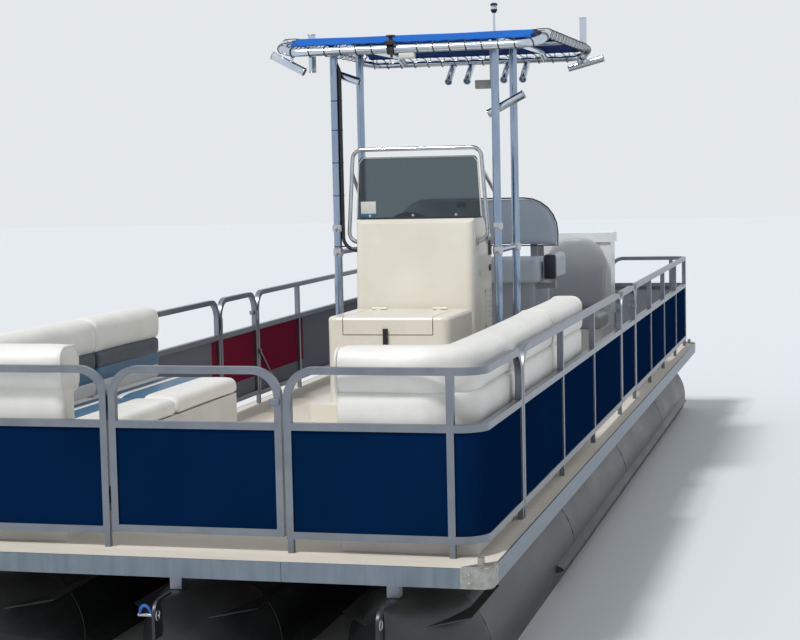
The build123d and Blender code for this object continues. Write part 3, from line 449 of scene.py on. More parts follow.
# %% Which finish each node has
finishes = {
    fence_tube: ["fence_rails", "fence_posts", "fence_corner_bends", "bow_gate_frame", "stern_gate_frame",
                 "port_gate_frame", "starboard_gate_frame", "cross_members", "fence_brace"],
    navy_sheet: ["fence_panels", "bow_gate_panel", "stern_gate_panel", "port_gate_panel",
                 "starboard_gate_panel"],
    deck_trim: ["deck_trim"],
    pontoon_sheet: ["pontoon_port", "pontoon_centre", "pontoon_starboard", "transom_pod"],
    cast_metal: ["corner_caps", "propeller"],
    roof_pipe: ["ttop_frame", "rod_holders", "anchor_light"],
    leg_pipe_painted_reflection: ["ttop_legs"],
    deck_vinyl: ["deck"],
    gelcoat: ["console", "console_seat_box", "console_seat_lid"],
    white_gelcoat: ["stern_seat_boxes"],
    grey_gelcoat: ["helm_bench_base", "helm_bench_arms"],
    base_plastic: ["couch_port_base", "couch_starboard_base"],
    cream_vinyl: ["couch_port_back", "couch_port_seat", "couch_starboard_back", "couch_starboard_seat",
                  "couch_starboard_chaise_back"],
    bench_vinyl: ["helm_bench_seat", "helm_bench_back"],
    stern_vinyl: ["stern_seat_cushions", "stern_seat_backs"],
    smoked_acrylic: ["windshield"],
    stainless: ["windshield_rail", "steering_wheel"],
    black_plastic: ["seat_lid_latch", "floodlight", "console_loom"],
    outboard_paint: ["outboard_clamp_bracket", "outboard_swivel_bracket", "outboard_engine", "outboard_leg"],
}
for material, names in finishes.items():
    for name in names:
        nodes[name].data.materials.clear()
        nodes[name].data.materials.append(material)
print("dressed", sum(len(names) for names in finishes.values()), "nodes")

# %% [markdown]
# ## Modelling by hand, in code
# New pieces start as a primitive at their size and place and are shaped in edit mode. A few helpers keep
# that short: they pick parts of a mesh by a test, add blocks, rods and discs, round edges, and finish a
# piece.

# %% Modelling helpers
# This table sorts each finish under one of the slots that the part's record names.
slots = {
    "frame_aluminium": [fence_tube, deck_trim], "tube_aluminium": [pontoon_sheet],
    "pipe_aluminium": [roof_pipe, leg_pipe_painted_reflection], "cast_aluminium": [cast_metal], "navy_panel": [navy_sheet],
    "deck_vinyl": [deck_vinyl], "fibreglass": [gelcoat, grey_gelcoat, white_gelcoat],
    "cream_vinyl": [cream_vinyl, striped_vinyl, pale_vinyl],
    "grey_vinyl": [slate_vinyl, bench_vinyl, stern_vinyl], "navy_vinyl": [blue_vinyl, navy_vinyl],
    "moulded_base": [base_plastic], "black_plastic": [black_plastic], "smoked_screen": [smoked_acrylic],
    "stainless": [stainless], "outboard_paint": [outboard_paint],
}
slot_of = {material: slot for slot, materials in slots.items() for material in materials}


def only(piece):
    """Makes a piece the one that operators act on."""
    bpy.ops.object.select_all(action="DESELECT")
    piece.select_set(True)
    bpy.context.view_layer.objects.active = piece


def choose(piece, kind, test):
    """In edit mode, selects just the VERT, EDGE or FACE elements that pass a test."""
    bpy.ops.mesh.select_mode(type=kind)
    bpy.ops.mesh.select_all(action="DESELECT")
    mesh = bmesh.from_edit_mesh(piece.data)
    for item in {"VERT": mesh.verts, "EDGE": mesh.edges, "FACE": mesh.faces}[kind]:
        if test(item):
            item.select_set(True)
    bmesh.update_edit_mesh(piece.data)


def middle_of(item):
    """The middle of a face or an edge."""
    return sum((v.co for v in item.verts), Vector()) / len(item.verts)


def direction_of(edge):
    """The direction of an edge, of length one."""
    return (edge.verts[1].co - edge.verts[0].co).normalized()


def add_block(low, high):
    """A box between two corners, with its place in its mesh."""
    low, high = Vector(low), Vector(high)
    corners = [Vector(map(min, low, high)), Vector(map(max, low, high))]
    bpy.ops.mesh.primitive_cube_add(size=1, location=(corners[0] + corners[1]) / 2,
                                    scale=corners[1] - corners[0])
    piece = bpy.context.object
    only(piece)
    bpy.ops.object.transform_apply(location=True, rotation=True, scale=True)
    return piece


def round_edges(piece, radius, segments=3, test=None):
    """Rounds a piece's edges, or those that pass a test, in edit mode."""
    only(piece)
    bpy.ops.object.mode_set(mode="EDIT")
    choose(piece, "EDGE", test or (lambda edge: True))
    bpy.ops.mesh.bevel(offset=radius, segments=segments, affect="EDGES", clamp_overlap=True)
    bpy.ops.object.mode_set(mode="OBJECT")


def join(name, parts):
    """Joins several meshes into one piece."""
    bpy.ops.object.select_all(action="DESELECT")
    for part in parts:
        part.select_set(True)
    bpy.context.view_layer.objects.active = parts[0]
    if len(parts) > 1:
        bpy.ops.object.join()
    parts[0].name = name
    return parts[0]


def finish_piece(piece, name, material, body="hull", stands_for=(), angle=40):
    """Names a piece, applies its place, gives its finish, smooths it and lets it ride on a body."""
    only(piece)
    bpy.ops.object.transform_apply(location=True, rotation=True, scale=True)
    piece.name = name
    if material is not None:
        piece.data.materials.clear()
        piece.data.materials.append(material)
    bpy.ops.object.shade_smooth_by_angle(angle=math.radians(angle))
    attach(piece, body)
    if stands_for:
        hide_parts(*stands_for)
    print("piece:", name, "with", len(piece.data.polygons), "faces")
    return piece


def rod(points, radius, sides=8, smooth=True):
    """A round wire or bar along points, as a mesh."""
    line = bpy.data.curves.new("rod", "CURVE")
    line.dimensions = "3D"
    line.bevel_depth = radius
    line.bevel_resolution = max(0, sides // 2 - 2)
    line.resolution_u = 4
    line.use_fill_caps = True
    spline = line.splines.new("NURBS" if smooth and len(points) > 2 else "POLY")
    spline.points.add(len(points) - 1)
    for knot, point in zip(spline.points, points):
        knot.co = (*point, 1)
    if spline.type == "NURBS":
        spline.order_u = 3
        spline.use_endpoint_u = True
    bar = bpy.data.objects.new("rod", line)
    bpy.context.scene.collection.objects.link(bar)
    only(bar)
    bpy.ops.object.convert(target="MESH")
    return bpy.context.object


def turn_to(piece, axis):
    """Turns a piece that was made upright to stand along an axis, and applies its place."""
    piece.rotation_mode = "QUATERNION"
    piece.rotation_quaternion = Vector(axis).to_track_quat("Z", "Y")
    only(piece)
    bpy.ops.object.transform_apply(location=True, rotation=True, scale=True)
    return piece


def disc(centre, axis, radius, depth, sides=24):
    """A short round bar standing along an axis."""
    bpy.ops.mesh.primitive_cylinder_add(vertices=sides, radius=radius, depth=depth, location=centre)
    return turn_to(bpy.context.object, axis)


def ring(centre, axis, radius, thickness, segments=28, round_segments=10, squash=1.0):
    """A round ring about an axis, drawn out or squashed along that axis."""
    bpy.ops.mesh.primitive_torus_add(major_radius=radius, minor_radius=thickness, major_segments=segments,
                                     minor_segments=round_segments, location=centre)
    bpy.context.object.scale.z = squash
    return turn_to(bpy.context.object, axis)


# %% [markdown]
# ## Cushions
# A boat seat is foam in a sewn vinyl cover. The cover is cut a little small, so the foam swells it between
# its seams. Each cushion is shaped plainly, remeshed, and blown up a few millimetres as cloth under
# pressure, with every point held near its start. Seams and piping are added after.

# %% Swelling a cushion
voxel = 0.022
foam_pressure = 3.0
swell_steps = 12


def swell(piece, cap, size=voxel):
    """Remeshes a closed shape and swells it as cloth under pressure, by at most cap metres."""
    only(piece)
    piece.data.remesh_voxel_size = size
    piece.data.remesh_voxel_adaptivity = 0.0
    bpy.ops.object.voxel_remesh()
    start = [vertex.co.copy() for vertex in piece.data.vertices]
    cloth = piece.modifiers.new("foam", "CLOTH")
    cloth.settings.use_pressure = True
    cloth.settings.uniform_pressure_force = foam_pressure
    cloth.settings.tension_stiffness = 20
    cloth.settings.compression_stiffness = 20
    cloth.settings.bending_stiffness = 2.0
    cloth.settings.quality = 4
    cloth.settings.effector_weights.gravity = 0
    cloth.collision_settings.use_collision = False
    cloth.point_cache.frame_start = 1
    cloth.point_cache.frame_end = swell_steps
    for step in range(1, swell_steps + 1):
        bpy.context.scene.frame_set(step)
    only(piece)
    bpy.ops.object.modifier_apply(modifier="foam")
    for vertex, was in zip(piece.data.vertices, start):
        move = vertex.co - was
        if move.length > cap:
            vertex.co = was + move * (cap / move.length)
    bpy.context.scene.frame_set(1)
    smooth = piece.modifiers.new("soft", "SMOOTH")
    smooth.factor = 0.5
    smooth.iterations = 4
    bpy.ops.object.modifier_apply(modifier="soft")
    finer = piece.modifiers.new("finer", "SUBSURF")
    finer.levels = 1
    finer.render_levels = 1
    bpy.ops.object.modifier_apply(modifier="finer")


# %% [markdown]
# ### Couch seats
# Each couch seat is two cushions end to end, foam boxes with a big round front edge, on a moulded base. A
# wide and a narrow blue stripe are sewn in along the seat.

# %% Couch seat cushions
seat_gap = 0.003
seat_play = 0.006
starboard_seat_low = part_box("couch_starboard_seat")[0]
seat_level = starboard_seat_low.z + 0.005


def seat_cushion(name, front, back, first, last, top, node):
    """A boxed seat cushion whose front edge, the one nearer the aisle, is well rounded."""
    start, end = at(front, first + seat_gap, 0), at(back, last - seat_gap, 0)
    piece = add_block((start.x, start.y, seat_level), (end.x, end.y, top))
    round_edges(piece, 0.038, 5, lambda e: abs(direction_of(e).y) > 0.9 and abs(middle_of(e).x - front) < 0.01
                and middle_of(e).z > seat_level + 0.01)
    round_edges(piece, 0.012, 2, lambda e: abs(direction_of(e).y) < 0.5)
    swell(piece, 0.007)
    return finish_piece(piece, name, striped_vinyl, stands_for=(node,), angle=60)


seat_seams = {"couch_starboard_seat": (0.235, 1.50, 2.37), "couch_port_seat": (0.235, 1.60, 3.05)}
for node, seams in seat_seams.items():
    low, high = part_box(node)
    front, back = (high.x - seat_play, low.x) if high.x < 0 else (low.x + seat_play, high.x)
    for count, (first, last) in enumerate(zip(seams, seams[1:]), 1):
        seat_cushion(f"{node}_cushion_{count}", front, back, first + seat_play, last, high.z - 0.008, node)
print("couch seats are stuffed")

# %% [markdown]
# ### Couch backs
# A couch back is a padded panel with a fat bolster along its top. The bolster starts as a box with its long
# edges rounded. Where the port back goes round the bow corner, its end face is spun a quarter turn and then
# extruded aft, which gives one unbroken roll.

# %% Places of the couch backs
bolster_low, bolster_high, bolster_wide = 0.625, 0.822, 0.186
outer_side = 1.188
back_edge = 0.212
corner_turn = 0.215
seam_half = 0.004
chaise_inner = -0.562
starboard_start, starboard_seam, starboard_end = 0.418, 1.55, 2.365
port_inner, port_seam, port_end = 0.620, 2.10, 3.045
turn_at = at(outer_side - corner_turn, back_edge + corner_turn, 0)
port_run = port_seam - seam_half - back_edge - corner_turn
starboard_halves = [(1, starboard_start, starboard_seam), (2, starboard_seam, starboard_end)]


def go_round_corner(piece):
    """Spins a piece's port end a quarter turn round the boat's corner, then extrudes it aft."""
    bpy.ops.object.mode_set(mode="EDIT")
    choose(piece, "FACE", lambda f: f.normal.x > 0.9 and middle_of(f).x > turn_at.x - 0.001)
    bpy.ops.mesh.spin(steps=8, angle=-math.pi / 2, center=turn_at, axis=(0, 0, 1))
    bpy.ops.mesh.extrude_region_move(TRANSFORM_OT_translate={"value": (0, port_run, 0)})
    bpy.ops.mesh.select_all(action="SELECT")
    bpy.ops.mesh.remove_doubles(threshold=0.0005)
    bpy.ops.mesh.normals_make_consistent(inside=False)
    bpy.ops.object.mode_set(mode="OBJECT")


# %% Bolsters


def bolster(name, low, high, along_axis, node, turns=False):
    """A fat bolster between two corners, which may go round the boat's corner."""
    piece = add_block(low, high)
    round_edges(piece, 0.052, 5, lambda e: abs(direction_of(e)[along_axis]) > 0.9)
    if turns:
        go_round_corner(piece)
    swell(piece, 0.006)
    return finish_piece(piece, name, cream_vinyl, stands_for=(node,), angle=60)


bolster("couch_port_bolster_bow", at(port_inner, back_edge, bolster_low),
        at(turn_at.x, back_edge + bolster_wide, bolster_high), 0, "couch_port_back", turns=True)
bolster("couch_port_bolster_aft", at(outer_side - bolster_wide, port_seam + seam_half, bolster_low),
        at(outer_side, port_end, bolster_high), 1, "couch_port_back")
for count, first, last in starboard_halves:
    bolster(f"couch_starboard_bolster_{count}", at(-outer_side, first + seam_half, bolster_low + 0.02),
            at(-outer_side + bolster_wide, last - seam_half, bolster_high), 1, "couch_starboard_back")
bolster("couch_chaise_bolster", at(-outer_side + 0.01, back_edge, bolster_low),
        at(chaise_inner, back_edge + bolster_wide, bolster_high), 0, "couch_starboard_chaise_back")
print("bolsters are rolled")

# %% [markdown]
# The panel under each bolster is flatter. On the starboard side it is sewn from three strips: slate grey
# under the bolster, mid blue below it, and pale grey down to the seat.

# %% Back panels
panel_low = 0.452
panel_start = 0.424
strip_lap = 0.006
strips = [("slate", slate_vinyl, 0.578, 0.655), ("blue", blue_vinyl, 0.514, 0.578),
          ("pale", pale_vinyl, panel_low, 0.514)]


def back_panel(name, low, high, material, node, turns=False):
    """A flat padded panel with softly rounded edges, which may go round the boat's corner."""
    piece = add_block(low, high)
    round_edges(piece, 0.012, 2, (lambda e: abs(direction_of(e).x) > 0.9) if turns else None)
    if turns:
        go_round_corner(piece)
    swell(piece, 0.004, size=0.016)
    return finish_piece(piece, name, material, stands_for=(node,), angle=60)


for count, first, last in starboard_halves:
    first = max(first, panel_start)
    for strip, material, low, high in strips:
        back_panel(f"couch_starboard_panel_{strip}_{count}", at(-1.172, first + 0.005, low - strip_lap),
                   at(-1.008, last - 0.005, high + strip_lap), material, "couch_starboard_back")
back_panel("couch_chaise_panel", at(-1.16, back_edge + 0.022, panel_low), at(-0.564, 0.352, 0.65),
           cream_vinyl, "couch_starboard_chaise_back")
back_panel("couch_port_panel_aft", at(1.045, port_seam + 0.006, panel_low), at(1.184, port_end - 0.004, 0.65),
           cream_vinyl, "couch_port_back")
back_panel("couch_port_panel_corner", at(port_inner + 0.004, back_edge + 0.004, panel_low + 0.001),
           at(turn_at.x, 0.350, 0.648), cream_vinyl, "couch_port_back", turns=True)
print("back panels are hung")

# %% [markdown]
# ### Bench and stern seats
# The helm bench has a blue grey back with a dark welt round its edge. The stern seats lean on fibreglass
# boxes and have tall round topped backs.

# %% Helm bench
bench_low, bench_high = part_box("helm_bench_seat")
seat = add_block(bench_low + Vector((0.006, 0.006, 0.001)), bench_high - Vector((0.006, 0.006, 0.008)))
round_edges(seat, 0.05, 4, lambda e: abs(direction_of(e).z) > 0.9)
round_edges(seat, 0.03, 3, lambda e: middle_of(e).z > bench_high.z - 0.02)
swell(seat, 0.007, size=0.018)
finish_piece(seat, "bench_seat_cushion", bench_vinyl, stands_for=("helm_bench_seat",), angle=60)


def arched_pad(low, high, corner, puff, name, material, node, foot=1.0):
    """An upright pad whose two top corners are well rounded, its foot narrower by a factor."""
    piece = add_block(low, high)
    for vertex in piece.data.vertices:
        if vertex.co.z < (low.z + high.z) / 2:
            vertex.co.x = (low.x + high.x) / 2 + (vertex.co.x - (low.x + high.x) / 2) * foot
    top = max(low.z, high.z)
    round_edges(piece, corner, 8, lambda e: abs(direction_of(e).y) > 0.9 and middle_of(e).z > top - 0.01)
    round_edges(piece, 0.014, 2)
    swell(piece, puff, size=0.016)
    return finish_piece(piece, name, material, stands_for=(node,), angle=60)


def welt(low, high, corner, y, radius, name, material):
    """A piped welt round the top and sides of an arched pad, and along its foot."""
    turns = 6
    points = [Vector((low.x, y, low.z))]
    for side, start in ((-1, math.pi), (1, math.pi / 2)):
        centre = Vector(((low.x if side < 0 else high.x) - side * corner, y, high.z - corner))
        for step in range(turns + 1):
            angle = start - step * math.pi / 2 / turns
            points.append(centre + Vector((math.cos(angle), 0, math.sin(angle))) * corner)
    points += [Vector((x, y, low.z)) for x in (high.x, (low.x + high.x) / 2, low.x)]
    return finish_piece(rod(points, radius, smooth=False), name, material)


bench_inset = Vector((0.006, 0.006, 0.006))
back_low, back_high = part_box("helm_bench_back")
back_low, back_high = back_low + bench_inset, back_high - bench_inset
arched_pad(back_low, back_high, 0.235, 0.008, "bench_back_cushion", bench_vinyl, "helm_bench_back")
welt(back_low, back_high, 0.24, back_low.y + 0.004, 0.005, "bench_back_welt", black_plastic)

sides = ((-1, "starboard"), (1, "port"))
stern_back_wide = 0.484
stern_seat_inner, stern_seat_outer = 0.300, 0.817
stern_low, stern_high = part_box("stern_seat_backs")
pad_low, pad_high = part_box("stern_seat_cushions")
for side, name in sides:
    edge = stern_high.x if side > 0 else stern_low.x
    start, end = sorted((edge, edge - side * stern_back_wide))
    low = Vector((start, stern_low.y, stern_low.z)) + Vector((0.005, 0.005, 0.002))
    high = Vector((end, stern_high.y, stern_high.z)) - Vector((0.005, 0.003, 0.006))
    arched_pad(low, high, 0.20, 0.007, f"stern_back_{name}", stern_vinyl, "stern_seat_backs", foot=0.89)
for side, name in sides:
    start, end = sorted((side * stern_seat_inner, side * stern_seat_outer))
    cushion = add_block((start + 0.005, pad_low.y + 0.005, pad_low.z + 0.001),
                        (end - 0.005, pad_high.y - 0.005, pad_high.z - 0.007))
    round_edges(cushion, 0.025, 3, lambda e: middle_of(e).z > pad_high.z - 0.02)
    swell(cushion, 0.006)
    finish_piece(cushion, f"stern_cushion_{name}", stern_vinyl, stands_for=("stern_seat_cushions",), angle=60)
print("bench and stern seats are stuffed")

# %% [markdown]
# ## Roof canvas
# The roof is one sheet of woven acrylic canvas, bright blue, its underside painted navy as painted shade,
# laced tight over a flat topped pipe frame. A grid is bent to its bows. Its edges are drawn in between the
# eyelets, which gives the scalloped edge of a laced sheet, and it dips a little between the two middle pipes.

# %% The outline of the roof
canvas_low, canvas_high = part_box("ttop_canvas")
canvas_middle = (canvas_low.y + canvas_high.y) / 2
half_length = (canvas_high.y - canvas_low.y) / 2
pipe_radius = 0.025
canvas_lift = 0.0248
# The bows' middle line, as station and level, and the radius of its two bends.
roof_outline = [(3.950, 2.262), (4.130, 2.334), (5.715, 2.339), (5.900, 2.290)]
roof_bend = 0.200
roof_runs = list(zip(roof_outline, roof_outline[1:]))
run_slopes = [math.atan2(high - low, end - start) for (start, low), (end, high) in roof_runs]


def roof_height(y, lift=canvas_lift):
    """Height of the bows' line at a place along the boat, lifted square to it to the canvas's underside."""
    station = y - bow
    for ((start, low), (end, high)), slope, after in zip(roof_runs, run_slopes, run_slopes[1:] + [None]):
        if after is not None:
            cut = roof_bend * math.tan((slope - after) / 2)
            middle = end - cut * math.cos(slope) + roof_bend * math.sin(slope)
            centre = high - cut * math.sin(slope) - roof_bend * math.cos(slope)
            reach = roof_bend + lift
            if station > middle - reach * math.sin(after):
                continue
            if station > middle - reach * math.sin(slope):
                return deck_top + centre + math.sqrt(reach ** 2 - (station - middle) ** 2)
        return deck_top + low + (station - start) * math.tan(slope) + lift / math.cos(slope)


# %% Canvas finish
# Matt woven threads lie about 0.6 mm apart and are drawn at 1.2 mm so that they show. The normal tells
# the top, which the sun has faded unevenly, from the underside, painted navy as painted shade of the blue
# canvas.
thread = 0.0012
canvas_cloth, tree, shader, place = new_finish("woven_acrylic_canvas", "#0A62C4", 0.80,
                                               **{"Specular IOR Level": 0.2})
facing = add_node(tree, "ShaderNodeTexCoord").outputs["Normal"]
up_or_down = add_node(tree, "ShaderNodeSeparateXYZ", links={0: facing}).outputs["Z"]
under = add_node(tree, "ShaderNodeMath", {"operation": "LESS_THAN", 1: 0.0}, {0: up_or_down})
fading = add_node(tree, "ShaderNodeTexNoise", {"Scale": 2.5, "Detail": 4.0}, {"Vector": place})
top_blue = mix_colours(tree, fading.outputs["Fac"], linear("#085AB8"), linear("#106ECC"))
# The navy underside is painted shade: the same blue canvas, darker where it faces down.
top_and_painted_shade_underside = mix_colours(tree, under.outputs[0], top_blue, linear("#14336E"))
tree.links.new(top_and_painted_shade_underside, shader.inputs["Base Color"])
add_bump(tree, shader, weave(tree, place, thread), 0.0004, 0.7)
slot_of[canvas_cloth] = "canvas"

# %% The laced sheet
eyelet_pitch = 0.094
scallop = 0.014
dip, ripple_rise = 0.003, 0.0015
half_width = canvas_high.x
bpy.ops.mesh.primitive_grid_add(x_subdivisions=96, y_subdivisions=120, size=1)
canvas = bpy.context.object
for vertex in canvas.data.vertices:
    across, lengthwise = vertex.co.x * 2, vertex.co.y * 2
    x = across * half_width
    y = canvas_middle + lengthwise * half_length
    end_draw = scallop * abs(math.sin(math.pi * x / eyelet_pitch)) * abs(lengthwise) ** 24
    side_draw = scallop * abs(math.sin(math.pi * y / eyelet_pitch)) * abs(across) ** 24
    x -= math.copysign(side_draw, across)
    y -= math.copysign(end_draw, lengthwise)
    droop = dip * math.cos(math.pi * min(1, abs(x) / 0.51) / 2) * (1 - lengthwise ** 8)
    ripple = ripple_rise * math.sin(9 * x + 2) * math.sin(5 * y) * (1 - abs(across) ** 6)
    vertex.co = (x, y, roof_height(y) + 0.0015 - droop + ripple * (1 - abs(lengthwise) ** 6))
only(canvas)
cloth = canvas.modifiers.new("cloth", "SOLIDIFY")
cloth.thickness = 0.0014
cloth.offset = 1
bpy.ops.object.modifier_apply(modifier="cloth")
finish_piece(canvas, "roof_canvas", canvas_cloth, stands_for=("ttop_canvas",), angle=60)

# %% The hem
hem_inset = 0.012
hem_points = []
hem_steps = 40
for x0, y0, x1, y1 in ((-1, -1, 1, -1), (1, -1, 1, 1), (1, 1, -1, 1), (-1, 1, -1, -1)):
    for step in range(hem_steps):
        x = (x0 + (x1 - x0) * step / hem_steps) * (half_width - hem_inset - scallop / 2)
        y = canvas_middle + (y0 + (y1 - y0) * step / hem_steps) * (half_length - hem_inset - scallop / 2)
        hem_points.append(Vector((x, y, roof_height(y) + 0.002)))
hem = finish_piece(rod(hem_points + hem_points[:1], 0.0042, smooth=False), "roof_canvas_hem", canvas_cloth)
print("canvas", round(2 * half_width, 2), "by", round(2 * half_length, 2), "m is laced on")

# %% [markdown]
# ### Lacing
# One long black cord winds round the rim pipe and through the eyelets. It is one smooth curve that goes
# round the pipe once for each eyelet, a hand apart at the ends and a bit more on the sides.

# %% The rim pipe's line
rim_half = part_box("ttop_frame")[1].x - pipe_radius
rim_corner = 0.150


def rim_end(outline):
    """Half of a cross rail and its port elbow, which lie in a plane that rises along the boat."""
    (end, level), (inner, inner_level) = outline
    slope = math.atan2(inner_level - level, abs(inner - end))
    along = math.copysign(math.cos(slope), inner - end)
    points = [at((rim_half - rim_corner) * n / 30, end, level) for n in range(30)]
    for n in range(19):
        turn = math.radians(5 * n)
        drop = rim_corner * (1 - math.cos(turn))
        points.append(at(rim_half - rim_corner + rim_corner * math.sin(turn), end + drop * along,
                         level + drop * math.sin(slope)))
    return points


bow_end, stern_end = rim_end(roof_outline[:2]), rim_end(roof_outline[:1:-1])
first, last = bow_end[-1].y, stern_end[-1].y
side_run = [first + (last - first) * n / 90 for n in range(1, 90)]
port_rim = [*bow_end, *(Vector((rim_half, y, roof_height(y, 0))) for y in side_run), *reversed(stern_end)]
rim = port_rim + [Vector((-p.x, p.y, p.z)) for p in reversed(port_rim[1:-1])]
steps = [(b - a).length for a, b in zip(rim, rim[1:] + rim[:1])]


def rim_place(distance):
    """A point on the rim pipe's middle line, its outward direction and its run, going round from the bow."""
    for step, start, end in zip(steps, rim, rim[1:] + rim[:1]):
        if distance <= step:
            run = (end - start).normalized()
            return start + run * distance, Vector((run.y, -run.x, 0)).normalized(), run
        distance -= step


# %% Lacing round the rim
lace_radius, lace_gap = 0.003, 0.001
lace_start, lace_stop = 0.06, 0.08
lace_angles = (-15, 30, 75, 120, 165, 205)
lace_creep, hole_step = 0.0035, 0.022
# The curve cuts the corners between points that stand 45 degrees apart, so they stand farther out.
lace_ring = (pipe_radius + lace_radius + lace_gap) / math.cos(math.radians(22.5))
lace_points = []
along_rim = lace_start
while along_rim < sum(steps) - lace_stop:
    place, out, run = rim_place(along_rim)
    # The canvas ends 65 mm from the pipe's middle at the sides and 32 mm at the ends.
    reach = 0.050 + 0.032 * abs(out.x)
    hole = place - out * reach
    lace_points.append(Vector((hole.x, hole.y, roof_height(hole.y) + 0.006)))
    side = run.cross(out)
    for count, angle in enumerate(lace_angles):
        turn = math.radians(angle)
        around = out * math.sin(turn) - side * math.cos(turn)
        lace_points.append(place + run * (lace_creep * count) + around * lace_ring)
    hole += run * hole_step
    lace_points.append(Vector((hole.x, hole.y, roof_height(hole.y) - 0.008)))
    along_rim += 0.100 + 0.030 * abs(out.x)
lacing = rod(lace_points, lace_radius, sides=6)
finish_piece(lacing, "roof_lacing", black_plastic)
print("lacing has", len(lace_points) // (len(lace_angles) + 2), "turns")

# %% [markdown]
# ## Roof fittings
# Small hard things hang on the roof: collars where the legs' sleeves end, ties that hold the cable to a
# leg, clamps on the legs, rims on the rod holders, a clamp for a handheld, a lamp on a yoke and the anchor
# light.

# %% Collars, clamps and ties
leg_x = 0.51
front_leg, rear_leg = 4.11, 4.70
leg_link = 1.025
sleeve_end = 1.175
leg_bore = 0.0245


def collar(name, centre, axis, inner, outer, depth, material):
    """A ring round a pipe with rounded rims."""
    piece = ring(centre, axis, (inner + outer) / 2, (outer - inner) / 2, squash=depth / (outer - inner))
    return finish_piece(piece, name, material, angle=60)


for side, name in sides:
    collar(f"leg_collar_{name}", at(side * leg_x, front_leg, sleeve_end), (0, 0, 1), leg_bore, 0.034, 0.045,
           stainless)
    knob = disc(at(side * leg_x, front_leg - 0.034, sleeve_end), (0, -1, 0), 0.011, 0.026)
    round_edges(knob, 0.004, 2)
    finish_piece(knob, f"leg_collar_knob_{name}", stainless)
    for station in (front_leg, rear_leg):
        collar(f"leg_link_clamp_{name}_{int(station * 100)}", at(side * leg_x, station, leg_link), (0, 0, 1),
               leg_bore, 0.032, 0.05, stainless)
for count, level in enumerate((1.967, 1.786, 1.583, 1.378, 1.06), 1):
    collar(f"cable_tie_{count}", at(-leg_x + 0.012, front_leg, level), (0, 0, 1), 0.033, 0.0375, 0.006,
           black_plastic)

# %% Rod holder rims
# X, station and level of a tube's middle, its lean aft and to port in degrees, and its length.
holder_rows = [
    (-0.761, 3.975, 2.199, 0, -62, 0.235), (-0.8793, 4.850, 2.318, 0, 0, 0.252),
    (-0.449, 4.1603, 2.114, 0, -70, 0.190), (0.567, 4.1603, 1.918, 0, 63, 0.250),
    (-0.165, 5.882, 2.216, 55, 0, 0.245), (-0.030, 5.882, 2.216, 55, 0, 0.245),
    (0.235, 5.882, 2.216, 55, 0, 0.245), (0.370, 5.882, 2.216, 55, 0, 0.245),
    (0.778, 5.931, 2.410, 0, 0, 0.317), (0.789, 5.982, 2.254, 0, 75.7, 0.258),
]
holder_rims = []
for x, station, level, aft, port, length in holder_rows:
    lean = math.radians(aft or port)
    axis = Vector((0, math.sin(lean), math.cos(lean))) if aft else Vector((math.sin(lean), 0, math.cos(lean)))
    holder_rims += [ring(at(x, station, level) + axis * end * (length / 2 - 0.003), axis, 0.0235, 0.0042,
                         round_segments=8) for end in (-1, 1)]
finish_piece(join("rod_holder_rims", holder_rims), "rod_holder_rims", stainless, angle=60)

# %% Clamp and its lamp on the front rail
rail_front = at(-0.096, *roof_outline[0])
parts = [disc(rail_front, (1, 0, 0), 0.034, 0.045),
         disc(rail_front + Vector((0, -0.008, 0.052)), (0, 0, 1), 0.013, 0.05),
         disc(rail_front + Vector((0, -0.008, 0.078)), (0, 0, 1), 0.030, 0.012)]
for low, high in (((-0.030, -0.050, 0.022), (0.030, -0.018, 0.050)),
                  ((0.004, -0.046, -0.054), (0.020, -0.034, 0.010))):
    parts.append(add_block(rail_front + Vector(low), rail_front + Vector(high)))
for part in parts:
    round_edges(part, 0.004, 2)
finish_piece(join("rail_clamp", parts), "rail_clamp", black_plastic)
lamp = add_block(at(-0.047, 3.927, 2.201), at(0.052, 3.972, 2.2365))
round_edges(lamp, 0.008, 3)
finish_piece(lamp, "courtesy_lamp", base_plastic)

# %% Floodlight with fins and yoke
light_low, light_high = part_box("floodlight")
body_high = deck_top + 2.075
body_left, body_right = 0.345, 0.462
fin_pitch, fin_wide, fin_deep = 0.0125, 0.004, 0.004
yoke = light_low.y + 0.010
box = add_block((body_left, light_low.y, light_low.z), (body_right, light_high.y, body_high))
round_edges(box, 0.006, 2)
fins = []
for n in range(9):
    x = body_left + 0.007 + fin_pitch * n
    fins.append(add_block((x, light_high.y - fin_deep, light_low.z + 0.006),
                          (x + fin_wide, light_high.y, body_high - 0.004)))
strap = add_block((0.4395, yoke, body_high - 0.002), (0.4465, yoke + 0.020, light_high.z))
stub = add_block((0.4395, yoke, light_high.z - 0.010), (0.4845, yoke + 0.020, light_high.z))
finish_piece(join("floodlight_body", [box, *fins, strap, stub]), "floodlight_body", cast_metal,
             stands_for=("floodlight",))
lens = add_block((body_left + 0.007, light_low.y, light_low.z + 0.007),
                 (body_right - 0.007, light_low.y + 0.004, body_high - 0.007))
round_edges(lens, 0.0015, 1)
finish_piece(lens, "floodlight_lens", base_plastic)

# %% Anchor light
light_x = 0.347
mast_foot, mast_top = (corner.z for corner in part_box("anchor_light"))
light_foot = Vector((light_x, canvas_middle, mast_foot))
tall = mast_top - mast_foot
turned_steps = 32


